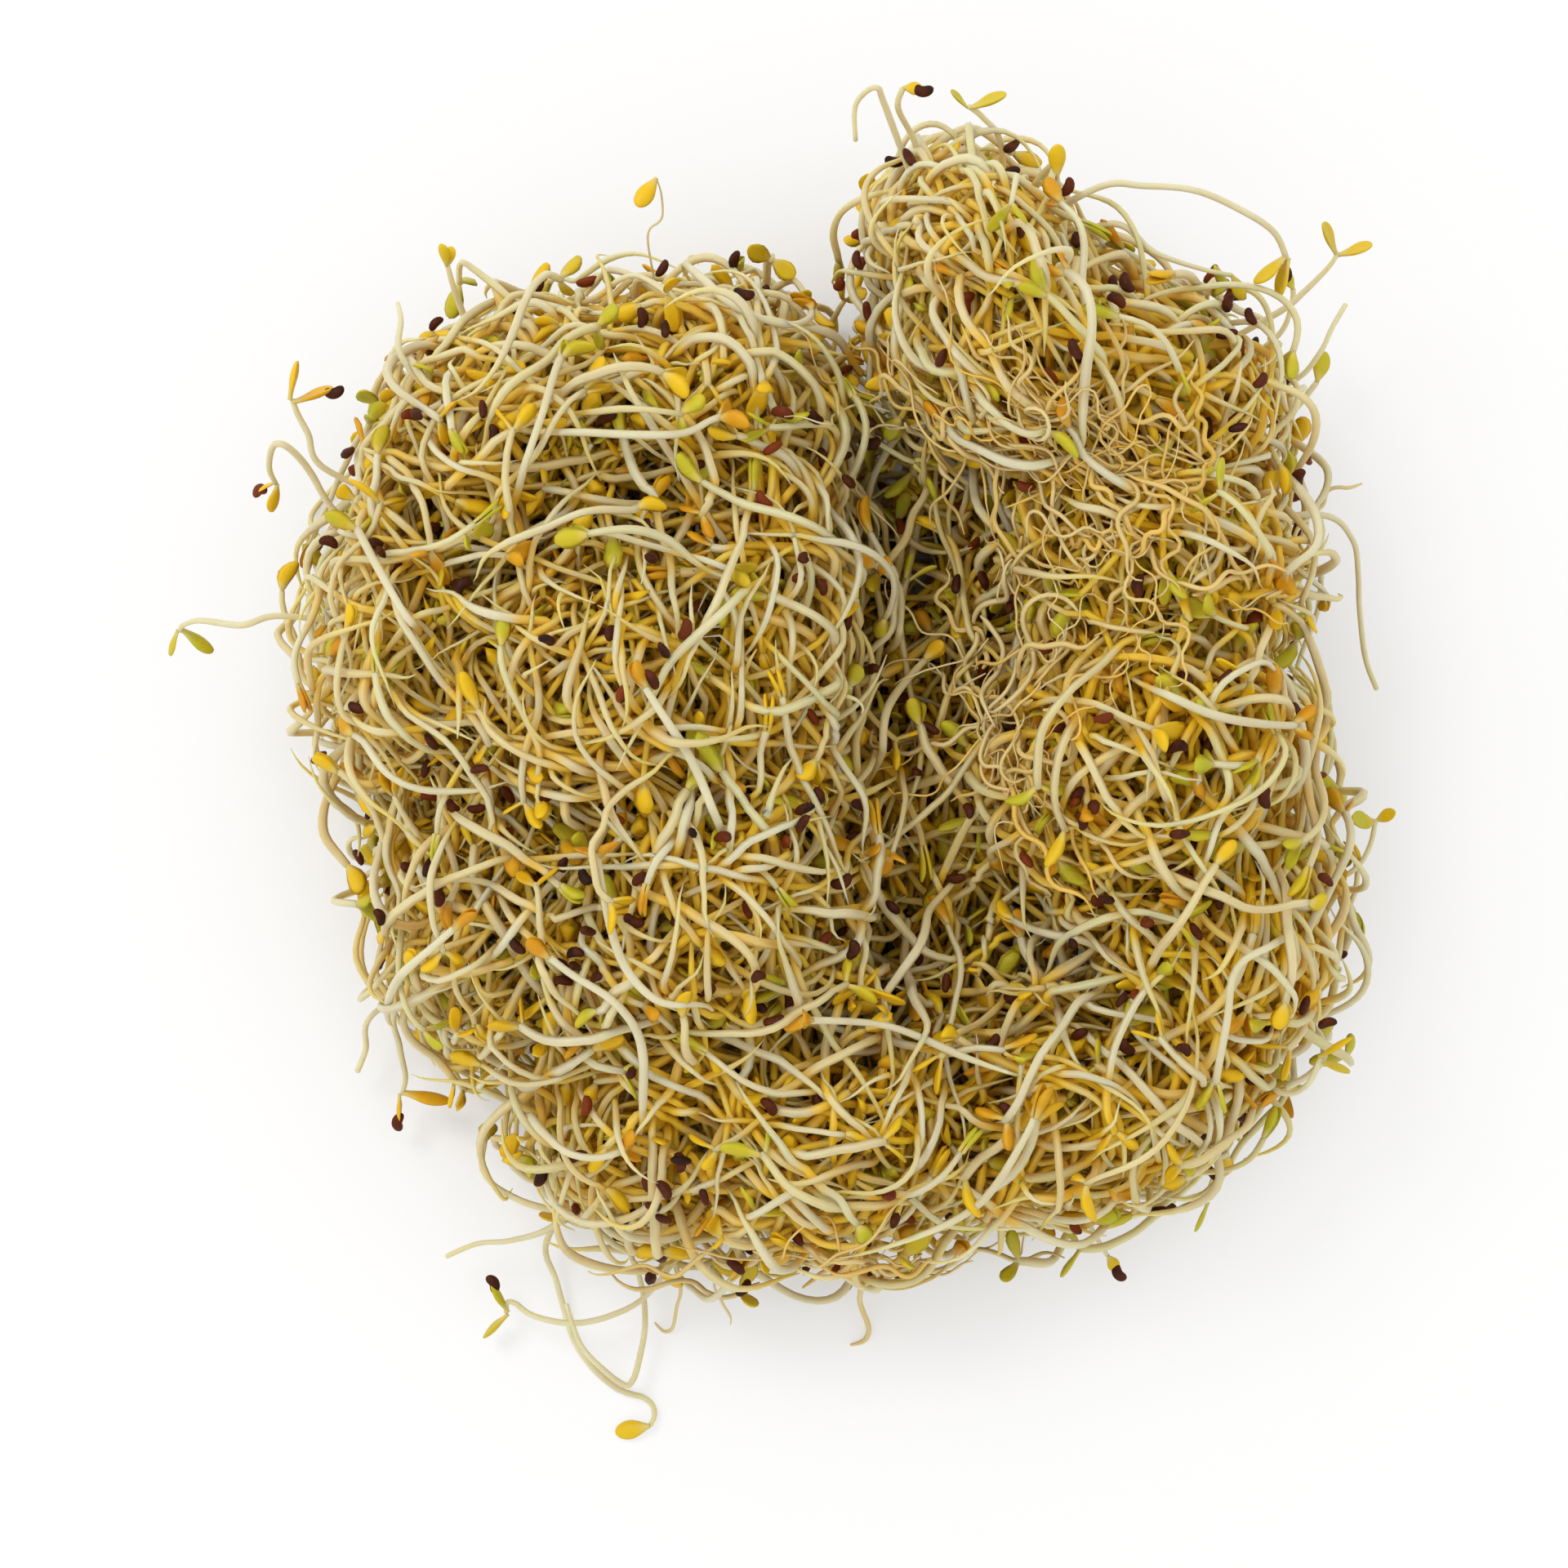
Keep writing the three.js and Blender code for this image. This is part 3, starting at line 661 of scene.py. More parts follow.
def laid_stem(points, length):
    """A route of STATIONS points, `length` long from end to end: along the smooth curve through
    the given points, and then on into the mat as the others grow."""
    points = np.array(points, float)[None]
    at = np.linspace(0, points.shape[1] - 1, FINE_STEPS)
    fine = between(points, at[None])
    walked = np.concatenate([[0], np.cumsum(np.linalg.norm(np.diff(fine[0], axis=0), axis=1))])
    step = length / (STATIONS - 1)
    given = min(STATIONS, int(walked[-1] / step) + 1)
    route = between(points, np.interp(np.arange(given) * step, walked, at)[None])
    if given < STATIONS:
        rest = STATIONS - given + 1
        heading = unit(route[:, -1] - route[:, -2])
        turning = rng.normal(0, 1 / (15 * MM), (1, 1)) * np.ones((1, rest))
        grown = grow(route[:, -1], heading, np.array([step * (rest - 1)]), np.array([6 * MM]),
                     np.zeros(1), turning, np.zeros(1), 3 * MM, 0.6 * MM, rest)
        route = np.concatenate([route, grown[:, 1:]], axis=1)
    return route


def stray_length(stray):
    """A stray's whole length: what stands clear and at least a third more inside the mat."""
    points = np.array(stray["stem"]) * MM
    clear = np.linalg.norm(np.diff(points, axis=0), axis=1).sum()
    return max(clear * 1.35, 28 * MM)


stray_routes = np.concatenate([laid_stem(np.array(stray["stem"]) * MM, stray_length(stray))
                               for stray in STRAYS.values()])
top_routes = []
for flat in TOP_STEMS:
    path = np.array(flat, float)[None] * MM
    path = between(path, np.linspace(0, path.shape[1] - 1, 12)[None])[0]
    height = top_height(path) + TOP_LIFT
    height[0] += TOP_ENDS
    height[-1] -= TOP_ENDS
    top_routes.append(laid_stem(np.column_stack([path, height]), rng.uniform(30, 42) * MM))
top_routes = np.concatenate(top_routes)


# ---- the curly roots that show ----
# Where the mat was pulled from its tray its fine tan roots show, curled and matted: along the
# lower edge of the raised fold, across the middle of the right side, and lower down beside it.

# Each patch: its middle, how far it reaches, the tilt of its long side, and how many roots.
# Millimetres and degrees.
ROOT_PATCHES = {
    "fold_edge": ((28, 36), (19, 3.0), -12, 76),
    "right_middle": ((35, 21), (16, 5.0), -8, 34),
    "hollow": ((24, 8), (4.0, 11), 12, 42),
    "bottom_edge": ((6, -52), (22, 4), 0, 18),
}
ROOT_PATCH_LENGTH = (12 * MM, 24 * MM)
ROOT_DEPTH = (-1.6 * MM, 2.2 * MM)
WIDE_BEND, TIGHT_BEND = 3.6 * MM, 1.7 * MM


def root_patch(middle, reach, tilt, count):
    """Starts of roots scattered over an oval patch of the mat's upper face, a little inside."""
    angle, far = TAU * rng.random(count), np.sqrt(rng.random(count))
    flat = np.column_stack([np.cos(angle), np.sin(angle)]) * far[:, None] * reach
    cos, sin = math.cos(math.radians(tilt)), math.sin(math.radians(tilt))
    flat = flat @ np.array([[cos, sin], [-sin, cos]]) + middle
    flat *= MM
    return np.column_stack([flat, top_height(flat) - 0.5 * MM])


def root_turning(count):
    """How a fine root turns: two sines of its length, which curl it one way and the other."""
    share = np.linspace(0, 1, STATIONS)
    wide = rng.normal(0, 1 / WIDE_BEND, (count, 1)) * np.sin(
        TAU * (rng.random((count, 1)) + (0.5 + rng.random((count, 1))) * share))
    tight = rng.normal(0, 1 / TIGHT_BEND, (count, 1)) * np.sin(
        TAU * (rng.random((count, 1)) + (2.5 + 2 * rng.random((count, 1))) * share))
    return wide + tight


root_starts = np.concatenate([root_patch(*patch) for patch in ROOT_PATCHES.values()])
root_count = len(root_starts)
root_routes = grow(root_starts, first_heading(root_starts),
                   rng.uniform(*ROOT_PATCH_LENGTH, root_count),
                   rng.uniform(*ROOT_DEPTH, root_count), np.zeros(root_count),
                   root_turning(root_count), rng.uniform(-1, 1.5, root_count) * MM, 1.5 * MM,
                   0.4 * MM, STATIONS)


# ---- all of them together, settled ----
# Everything that runs as a strand lies in one heap: each leans on its neighbours. The strays
# keep their place, the stems on top give a little, and the rest moves aside.

# How many have their leaf end at the surface, and how many lie loose on top of the mat.
LEAFY = 0.19
LOOSE_ON_TOP = 0.12
TANGLE, TOPS, PATCH_ROOTS, STRAY = 0, 1, 2, 3
FREEDOM = np.array([1.0, 0.15, 0.8, 0.0])
SWELL = 0.09

# Painted shade: light that gets under the top stems has passed through them and is golden, and
# that golden shade is painted into the stems' colour, more of it to the right and down in the
# hollow. How covered a point is where the painted gold starts, and where it is golden through and
# through.
OPEN_COVER, FULL_COVER = 0.12, 0.46
COVER_REACH = 3 * MM
COVER_EVERY = 2
COVER_AREA = 1.4 * MM ** 2
GOLDEN_SHARE = 0.91
MORE_GOLD_TO_RIGHT = 0.14
GREENER_TO_RIGHT = 0.12
HOLLOW_MIDDLE = (13 * MM, 5 * MM)
HOLLOW_REACH = (16 * MM, 40 * MM)
HOLLOW_RIM = 40 * MM
HOLLOW_SHADE = 22 * MM
SHADED_GOLD = 0.55


def cover_share(points, ways):
    """How much light other stems keep from each point. A piece of stem within COVER_REACH hides
    its area / (pi distance^2) of the sky times the cosine of its angle to the way out, and the
    share lost is 1 - exp(-their sum)."""
    here, there = close_pairs(points, COVER_REACH)
    apart = points[there] - points[here]
    distance = np.linalg.norm(apart, axis=1) + 1e-9
    hidden = np.minimum(COVER_AREA / (math.pi * distance ** 2), 0.5)
    from_here = hidden * np.clip((apart * ways[here]).sum(1) / distance, 0, 1)
    from_there = hidden * np.clip(-(apart * ways[there]).sum(1) / distance, 0, 1)
    hidden = (np.bincount(here, from_here, len(points))
              + np.bincount(there, from_there, len(points)))
    return 1 - np.exp(-hidden)


def hollow_share(points):
    """How deep in the hollow each point lies, which sets its painted shade there: 1.3 less its
    distance from the hollow's middle, counted in the hollow's reach, times how far it is below
    the rim over HOLLOW_SHADE, both held between 0 and 1."""
    away = np.linalg.norm((points[..., :2] - HOLLOW_MIDDLE) / HOLLOW_REACH, axis=-1)
    return np.clip(1.3 - away, 0, 1) * np.clip((HOLLOW_RIM - points[..., 2]) / HOLLOW_SHADE, 0, 1)


place, depth = scattered(SEEDLINGS, 0, SHALLOW_TO, 1.15)
deep_place, deep_depth = scattered(DEEP_SEEDLINGS, SHALLOW_TO * 0.8, DEEP_TO, 1.0)
leafy = rng.random(SEEDLINGS) < LEAFY
flyaway = np.where(leafy & (rng.random(SEEDLINGS) < 0.5), rng.uniform(1, 6, SEEDLINGS), 0) * MM
lift = np.where(leafy, rng.uniform(-1.0, 1.0, SEEDLINGS), rng.uniform(-11, -3, SEEDLINGS)) * MM
loose_on_top = rng.random(SEEDLINGS) < LOOSE_ON_TOP
depth = np.where(loose_on_top, -rng.uniform(0.2, 1.8, SEEDLINGS) * MM, depth)
place = place + mat_distance(place)[1] * np.minimum(lift, 0)[:, None]
place[:, 2] = np.maximum(place[:, 2], 1 * MM)
shallow_routes = grow(place, first_heading(place), rng.uniform(*LENGTH_RANGE, SEEDLINGS), depth,
                      rng.uniform(1, 12, SEEDLINGS) * MM, stem_turning(place, STATIONS),
                      lift + flyaway, 3 * MM, 0.6 * MM, STATIONS)
deep_routes = grow(deep_place, first_heading(deep_place),
                   rng.uniform(*DEEP_LENGTH_RANGE, DEEP_SEEDLINGS), deep_depth,
                   rng.uniform(-4, 4, DEEP_SEEDLINGS) * MM, stem_turning(deep_place, STATIONS),
                   np.zeros(DEEP_SEEDLINGS), 5 * MM, 0.6 * MM, STATIONS)
tangle_routes = raised_where_thin(np.concatenate([shallow_routes, deep_routes]))
tangle_count = len(tangle_routes)

routes = np.concatenate([tangle_routes, top_routes, root_routes, stray_routes])
kind = np.repeat([TANGLE, TOPS, PATCH_ROOTS, STRAY],
                 [tangle_count, len(top_routes), root_count, len(stray_routes)])
thickness = 0.82 + 0.50 * rng.random(len(routes))
thickness[kind == STRAY] = rng.uniform(0.8, 0.95, len(stray_routes))
thickness[kind == TOPS] = rng.uniform(1.0, 1.15, len(top_routes))
radii = seedling_radii(thickness, STATIONS)
swell = TAU * (rng.random((len(routes), 1)) + 1.7 * np.linspace(0, 1, STATIONS))
radii *= 1 + SWELL * np.sin(swell)
stray_is_root = np.array([stray.get("root", False) for stray in STRAYS.values()])
all_root = kind == PATCH_ROOTS
all_root[kind == STRAY] = stray_is_root
taper = np.minimum(1, np.linspace(3.2, 0.3, STATIONS))
taper *= np.minimum(1, np.linspace(0.5, 8, STATIONS))
radii[all_root] = ROOT_RADIUS * (0.6 + 1.3 * rng.random((all_root.sum(), 1)) ** 1.6) * taper
room = radii.copy()
room[kind <= TOPS, :LEAF_STATIONS] = LEAF_ROOM
routes = settle(routes, room, FREEDOM[kind], SETTLE_ROUNDS)

strand_luck = rng.random((len(routes), 2))
strand_lobe = lobe_distances(routes[:, STATIONS // 2])[0].argmin(1)
outside, way_out = mat_distance(routes.reshape(-1, 3))
outside, way_out = outside.reshape(len(routes), STATIONS), way_out.reshape(routes.shape)
facing_up = np.clip(way_out[..., 2], 0, 1)
shallowness = np.sort(outside, axis=1)[:, -STATIONS // 3:].mean(1)
covered = cover_share(routes[:, ::COVER_EVERY].reshape(-1, 3),
                      way_out[:, ::COVER_EVERY].reshape(-1, 3))
covered = np.repeat(covered.reshape(len(routes), -1), COVER_EVERY, axis=1)[:, :STATIONS]
covered = spread_along(covered[..., None])[..., 0]
to_right = routes[..., 0] / cad_high.x
# Painted shade: how golden each station is painted, from how covered it is, how far under the
# surface and how much it faces up, more to the right, and at least its share in the hollow.
painted_gold_shade = np.clip((covered - OPEN_COVER) / (FULL_COVER - OPEN_COVER), 0, 1)
painted_gold_shade *= np.clip((TOP_LAYER - outside) / (2 * TOP_LAYER), 0, 1) * (0.6 + 0.4 * facing_up)
painted_gold_shade *= GOLDEN_SHARE + MORE_GOLD_TO_RIGHT * to_right
painted_gold_shade = np.maximum(painted_gold_shade, SHADED_GOLD * hollow_share(routes))
strand_luck[:, 1] = np.clip(strand_luck[:, 1] + GREENER_TO_RIGHT * to_right[:, 0], 0, 1)
strand_luck[kind == TOPS] = rng.uniform((0.7, 0.4), (1.0, 0.75), (len(top_routes), 2))
strand_luck[kind == STRAY] = rng.uniform((0.8, 0.3), (1.0, 0.7), (len(stray_routes), 2))


# ---- the stems and their roots ----
# The part between leaves and root is a smooth, moist, pale stem about a millimetre thick, and
# it runs on into a thin tan root. Each is one tube that narrows to its root's tip.

TABLE_GAP = 0.05 * MM
# How finely each stem is made, as its rings and sides. The first share of the stems lies in plain
# sight, the next below it, and the rest is seen only through gaps.
FINE, MIDDLING, COARSE = 0, 1, 2
FINE_SHARE, MIDDLING_SHARE = 0.33, 0.28
STEM_GRID = [(22, 5), (14, 4), (10, 3)]
TOP_STEM_GRID = (40, 8)
STRAY_GRID = (50, 8)
ROOT_GRID = (25, 4)

tangle_order = np.argsort(-shallowness[kind == TANGLE], kind="stable")
fineness = np.zeros(len(routes), int)
fineness[tangle_order[int(FINE_SHARE * tangle_count):]] = MIDDLING
fineness[tangle_order[int((FINE_SHARE + MIDDLING_SHARE) * tangle_count):]] = COARSE


def form_faces(rings, sides):
    """Corners, face sizes and UVs of a closed form: rings of points between two end points.
    Point 0 is the first end, point 1 + r * sides + s is side s of ring r, and the last closes
    it. The UVs run 0 to 1 along the form and 0 to 1 round it."""
    side = np.arange(sides)
    ring, beside = (half.ravel() for half in np.meshgrid(np.arange(rings - 1), side, indexing="ij"))
    faces = [
        [(ring, beside), (ring, beside + 1), (ring + 1, beside + 1), (ring + 1, beside)],
        [(0 * side - 1, side + 0.5), (0 * side, side + 1), (0 * side, side)],
        [(0 * side + rings, side + 0.5), (0 * side + rings - 1, side),
         (0 * side + rings - 1, side + 1)],
    ]
    place = np.concatenate([np.stack([np.stack(corner, -1) for corner in face], 1).reshape(-1, 2)
                            for face in faces])
    own = 1 + place[:, 0] * sides + place[:, 1] % sides
    corners = np.select([place[:, 0] < 0, place[:, 0] == rings], [0, 1 + rings * sides], own)
    sizes = np.repeat([4, 3], [(rings - 1) * sides, 2 * sides])
    return corners.astype(int), sizes, (place + (1, 0)) / (rings + 1, sides)


def make_piece(name, forms, material, stands_for=()):
    """One object of many closed forms. Each batch of forms holds points (forms, points, 3), its
    grid (rings, sides) and what colours it (forms, points, 3). Every form has a cell of its own
    in the UV map, in rows and columns that leave a gap between cells."""
    total = sum(len(points) for points, _, _ in forms)
    long_form = max(grid[0] for _, grid, _ in forms) > 10
    columns = 1 if long_form else math.ceil(math.sqrt(total))
    rows = math.ceil(total / columns)
    all_points, all_corners, all_sizes, all_uv, all_tints = [], [], [], [], []
    first_point = first_form = 0
    for points, grid, tints in forms:
        corners, sizes, uv = form_faces(*grid)
        count, held = points.shape[:2]
        starts = first_point + held * np.arange(count)[:, None]
        cell = first_form + np.arange(count)
        corner_uv = np.empty((count, len(uv), 2))
        corner_uv[..., 0] = ((cell % columns)[:, None] + 0.03 + 0.94 * uv[:, 0]) / columns
        corner_uv[..., 1] = ((cell // columns)[:, None] + 0.08 + 0.84 * uv[:, 1]) / rows
        all_points.append(points.reshape(-1, 3))
        all_corners.append((corners + starts).ravel())
        all_sizes.append(np.tile(sizes, count))
        all_uv.append(corner_uv.reshape(-1, 2))
        all_tints.append(tints.reshape(-1, 4))
        first_point += count * held
        first_form += count
    points, corners = np.concatenate(all_points), np.concatenate(all_corners)
    points[:, 2] = np.maximum(points[:, 2], TABLE_GAP)
    sizes = np.concatenate(all_sizes)
    mesh = bpy.data.meshes.new(name)
    mesh.vertices.add(len(points))
    mesh.vertices.foreach_set("co", points.astype(np.float32).ravel())
    mesh.loops.add(len(corners))
    mesh.loops.foreach_set("vertex_index", corners.astype(np.int32))
    mesh.polygons.add(len(sizes))
    first_corner = np.concatenate([[0], np.cumsum(sizes)[:-1]])
    mesh.polygons.foreach_set("loop_start", first_corner.astype(np.int32))
    mesh.update(calc_edges=True)
    mesh.shade_smooth()
    mesh.uv_layers.new(name="OFBake").uv.foreach_set(
        "vector", np.concatenate(all_uv).astype(np.float32).ravel())
    tints = np.concatenate(all_tints).astype(np.float32)
    mesh.attributes.new("growth", "FLOAT_COLOR", "POINT").data.foreach_set("color", tints.ravel())
    mesh.materials.append(material)
    piece = bpy.data.objects.new(name, mesh)
    scene.collection.objects.link(piece)
    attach(piece, "root")
    if stands_for:
        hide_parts(*stands_for)


BEND_COUNTS = 1.6
END_BULGE = 0.7
AHEAD = 0.15


def tube_forms(paths, radii, grid, start):
    """Tubes along paths, from the station `start` on. Rings stand closer where a path bends: its
    length between stations counts for more by the angle it turns there. Each ring is a circle
    across the path, and its first side is carried on from ring to ring without twist."""
    rings, sides = grid
    count, stations, _ = paths.shape
    links = np.diff(paths, axis=1)
    ways = unit(links)
    bend = np.arccos(np.clip((ways[:, 1:] * ways[:, :-1]).sum(2), -1, 1))
    bend = np.pad(bend, ((0, 0), (1, 1)), mode="edge")
    cost = np.linalg.norm(links, axis=2) * (1 + BEND_COUNTS * (bend[:, 1:] + bend[:, :-1]))
    spent = np.concatenate([np.zeros((count, 1)), np.cumsum(cost[:, start:], axis=1)], axis=1)
    spent /= spent[:, -1:] * (1 + 1e-9)
    row = 2.0 * np.arange(count)[:, None]
    wanted = np.linspace(0, 1, rings) * (1 - 1e-9) + row
    station = np.interp(wanted.ravel(), (spent + row).ravel(),
                        np.tile(np.arange(start, stations, dtype=float), count))
    station = station.reshape(count, rings)
    centre = between(paths, station)
    radius = between(radii[..., None], station)
    forward = unit(between(paths, np.minimum(station + AHEAD, stations - 1))
                   - between(paths, np.maximum(station - AHEAD, 0)))
    spin = np.cross(forward[:, 0], [0.31, 0.17, 0.94])
    spins = [unit(spin)]
    for ring in range(1, rings):
        spin = spins[-1] - forward[:, ring] * (spins[-1] * forward[:, ring]).sum(1, keepdims=True)
        spins.append(unit(spin))
    spin = np.stack(spins, axis=1)
    other = np.cross(forward, spin)
    angle = TAU * np.arange(sides) / sides
    around = (spin[:, :, None] * np.cos(angle)[:, None] + other[:, :, None] * np.sin(angle)[:, None])
    ring_points = centre[:, :, None] + around * radius[:, :, None]
    ends = [centre[:, :1] - forward[:, :1] * radius[:, :1] * END_BULGE,
            centre[:, -1:] + forward[:, -1:] * radius[:, -1:] * END_BULGE]
    points = np.concatenate([ends[0], ring_points.reshape(count, -1, 3), ends[1]], axis=1)
    return points, station


def form_tints(along, luck, gold, sides):
    """What colours a form: red is how far along it a point is, green and blue its luck, and
    alpha how much painted golden shade it gets, from 0 in the open to 1."""
    along, gold = [np.concatenate([rows[:, :1], np.repeat(rows, sides, axis=1), rows[:, -1:]], 1)
                   for rows in (along, gold)]
    luck = np.repeat(luck[:, None], along.shape[1], axis=1)
    return np.concatenate([along[..., None], luck, gold[..., None]], axis=2)


def colour_split(tree):
    """How far along its form a point is, its two pieces of luck, and how much painted golden shade
    it gets.
    """
    tints = put(tree, "ShaderNodeAttribute", attribute_name="growth")
    split = put(tree, "ShaderNodeSeparateColor", {"Color": tints.outputs["Color"]})
    return (split.outputs["Red"], split.outputs["Green"], split.outputs["Blue"],
            tints.outputs["Alpha"])


def blend_colours(tree, share, first, second):
    """The first colour where share is 0 and the second where it is 1."""
    mix = put(tree, "ShaderNodeMix", {"Factor": share, 6: first, 7: second}, data_type="RGBA")
    return mix.outputs[2]


def spread(tree, value, low, high, to_low=0.0, to_high=1.0):
    """A value's range low to high, stretched smoothly to another range."""
    ramp = put(tree, "ShaderNodeMapRange",
               {"Value": value, "From Min": low, "From Max": high, "To Min": to_low,
                "To Max": to_high}, interpolation_type="SMOOTHSTEP")
    return ramp.outputs["Result"]


def blotched(tree, mask, strength, colour, other):
    """A colour with another blended in by strength times the mask."""
    share = put(tree, "ShaderNodeMath", {0: mask, 1: strength}, operation="MULTIPLY")
    return blend_colours(tree, share.outputs[0], colour, other)


def new_material(name, specular, roughness):
    """A material with only its output and its main shader."""
    material = bpy.data.materials.new(name)
    material.use_nodes = True
    tree = material.node_tree
    tree.nodes.clear()
    shader = put(tree, "ShaderNodeBsdfPrincipled", {"Specular IOR Level": specular,
                                                    "Roughness": roughness})
    put(tree, "ShaderNodeOutputMaterial", {"Surface": shader.outputs["BSDF"]})
    return material, tree, shader


def uneven_group():
    """Soft unevenness of living flesh: a broad and a fine noise of the place on the object, as a
    mask from 0 to 1 and as a height for a bump."""
    group = bpy.data.node_groups.new("uneven_flesh", "ShaderNodeTree")
    for name, default in (("Broad Scale", 150.0), ("Fine Scale", 1500.0)):
        socket = group.interface.new_socket(name, in_out="INPUT", socket_type="NodeSocketFloat")
        socket.default_value = default
    for name in ("Mask", "Height"):
        group.interface.new_socket(name, in_out="OUTPUT", socket_type="NodeSocketFloat")
    given = put(group, "NodeGroupInput")
    place = put(group, "ShaderNodeTexCoord")
    broad = put(group, "ShaderNodeTexNoise", {"Vector": place.outputs["Object"],
                                              "Scale": given.outputs["Broad Scale"]})
    fine = put(group, "ShaderNodeTexNoise", {"Vector": place.outputs["Object"],
                                             "Scale": given.outputs["Fine Scale"],
                                             "Detail": 1.0})
    mask = spread(group, broad.outputs["Fac"], 0.3, 0.7)
    put(group, "NodeGroupOutput", {"Mask": mask, "Height": fine.outputs["Fac"]})
    return group


uneven = uneven_group()


def add_uneven(tree, shader, broad_scale, fine_scale, strength, depth):
    """Puts the unevenness in a material: its height bumps the surface, and its mask is returned."""
    flesh = put(tree, "ShaderNodeGroup", node_tree=uneven)
    for name, value in (("Broad Scale", broad_scale), ("Fine Scale", fine_scale)):
        flesh.inputs[name].default_value = value
    bump = put(tree, "ShaderNodeBump", {"Height": flesh.outputs["Height"], "Strength": strength,
                                        "Distance": depth})
    tree.links.new(bump.outputs["Normal"], shader.inputs["Normal"])
    return flesh.outputs["Mask"]


CREAM = (0.71, 0.60, 0.34, 1)
PALE = (0.69, 0.645, 0.46, 1)
GREENISH = (0.65, 0.62, 0.34, 1)
STRAW = (0.75, 0.54, 0.20, 1)
# GOLDEN is the painted shade under covering stems, and also a real tone of some roots.
GOLDEN = (0.94, 0.53, 0.010, 1)
ROOT_TAN = (0.76, 0.55, 0.17, 1)
ROOT_PALE = (0.80, 0.68, 0.38, 1)
MATTED_ROOT = (0.68, 0.47, 0.13, 1)
MATTED_PALE = (0.76, 0.64, 0.34, 1)
MOTTLE_DARK = (0.86, 0.84, 0.80, 1)
WHITE = (1, 1, 1, 1)
STEM_GLOSS, ROOT_GLOSS = 0.34, 0.6
# How far light wanders in a stem, and how that differs for red, green and blue.
FLESH_DEPTH = 2 * MM
FLESH_COLOURS = (1.0, 0.66, 0.20)


def stem_material():
    """Cream to pale stems, some greenish or straw coloured, with golden painted shade where other
    stems cover them, which turn tan along the root. Moist flesh that light wanders in, glossier
    than the root."""
    material, tree, shader = new_material("stem_flesh", 0.16, STEM_GLOSS)
    along, luck, luck_two, covered = colour_split(tree)
    mask = add_uneven(tree, shader, 130.0, 1400.0, 0.25, 0.0002)
    stem = blend_colours(tree, spread(tree, luck, 0.0, 0.9), CREAM, PALE)
    stem = blend_colours(tree, spread(tree, luck_two, 0.70, 1.0, 0.0, 0.75), stem, GREENISH)
    stem = blend_colours(tree, spread(tree, luck_two, 0.22, 0.0, 0.0, 0.5), stem, STRAW)
    leaf_end = spread(tree, along, 0.16, 0.05, 0.0, 0.35)
    stem = blend_colours(tree, leaf_end, stem, GREENISH)
    # Painted shade: the stem turns golden as far as the growth alpha says it is covered.
    stem = blend_colours(tree, spread(tree, covered, 0.0, 1.0, 0.0, 0.97), stem, GOLDEN)
    root = blend_colours(tree, luck, ROOT_TAN, ROOT_PALE)
    stem = blend_colours(tree, spread(tree, along, 0.68, 0.90), stem, root)
    mottle = blend_colours(tree, mask, MOTTLE_DARK, WHITE)
    tinted = put(tree, "ShaderNodeMix", {"Factor": 1.0, 6: stem, 7: mottle},
                 data_type="RGBA", blend_type="MULTIPLY")
    tree.links.new(tinted.outputs[2], shader.inputs["Base Color"])
    gloss = spread(tree, along, 0.6, 0.85, STEM_GLOSS, ROOT_GLOSS)
    tree.links.new(gloss, shader.inputs["Roughness"])
    shader.inputs["Subsurface Weight"].default_value = 0.7
    shader.inputs["Subsurface Radius"].default_value = FLESH_COLOURS
    shader.inputs["Subsurface Scale"].default_value = FLESH_DEPTH
    return material


def root_material():
    """Fine tan roots, some almost orange and some pale."""
    material, tree, shader = new_material("root_flesh", 0.16, 0.55)
    _, luck, luck_two, _ = colour_split(tree)
    mask = add_uneven(tree, shader, 220.0, 2600.0, 0.3, 0.0001)
    colour = blend_colours(tree, luck, MATTED_ROOT, MATTED_PALE)
    colour = blend_colours(tree, spread(tree, luck_two, 0.6, 1.0, 0.0, 0.5), colour, GOLDEN)
    colour = blotched(tree, mask, 0.25, colour, STRAW)
    tree.links.new(colour, shader.inputs["Base Color"])
    return material


stem_flesh = stem_material()
root_flesh = root_material()
lobe_names = [name.removesuffix("_tuft") for name in LOBES]


def tubes_of(chosen, grid, start):
    """The tubes of the chosen strands on one grid, as a batch for make_piece."""
    points, station = tube_forms(routes[chosen], radii[chosen], grid, start)
    gold = np.clip(between(painted_gold_shade[chosen][..., None], station)[..., 0], 0, 1)
    return points, grid, form_tints(station / (STATIONS - 1), strand_luck[chosen], gold, grid[1])


STEM_START = LEAF_STATIONS - 1
for lobe, name in enumerate(lobe_names):
    batches = []
    for level, grid in enumerate(STEM_GRID):
        chosen = (strand_lobe == lobe) & (kind == TANGLE) & (fineness == level)
        if chosen.any():
            batches.append(tubes_of(chosen, grid, STEM_START))
    chosen = (strand_lobe == lobe) & (kind == TOPS)
    if chosen.any():
        batches.append(tubes_of(chosen, TOP_STEM_GRID, STEM_START))
    make_piece(f"stems_{name}", batches, stem_flesh, [f"{name}_tuft"])

patch_of_root = np.repeat(np.arange(len(ROOT_PATCHES)),
                          [patch[3] for patch in ROOT_PATCHES.values()])
for patch, name in enumerate(ROOT_PATCHES):
    chosen = np.flatnonzero(kind == PATCH_ROOTS)[patch_of_root == patch]
    make_piece(f"roots_{name}", [tubes_of(chosen, ROOT_GRID, 0)], root_flesh)

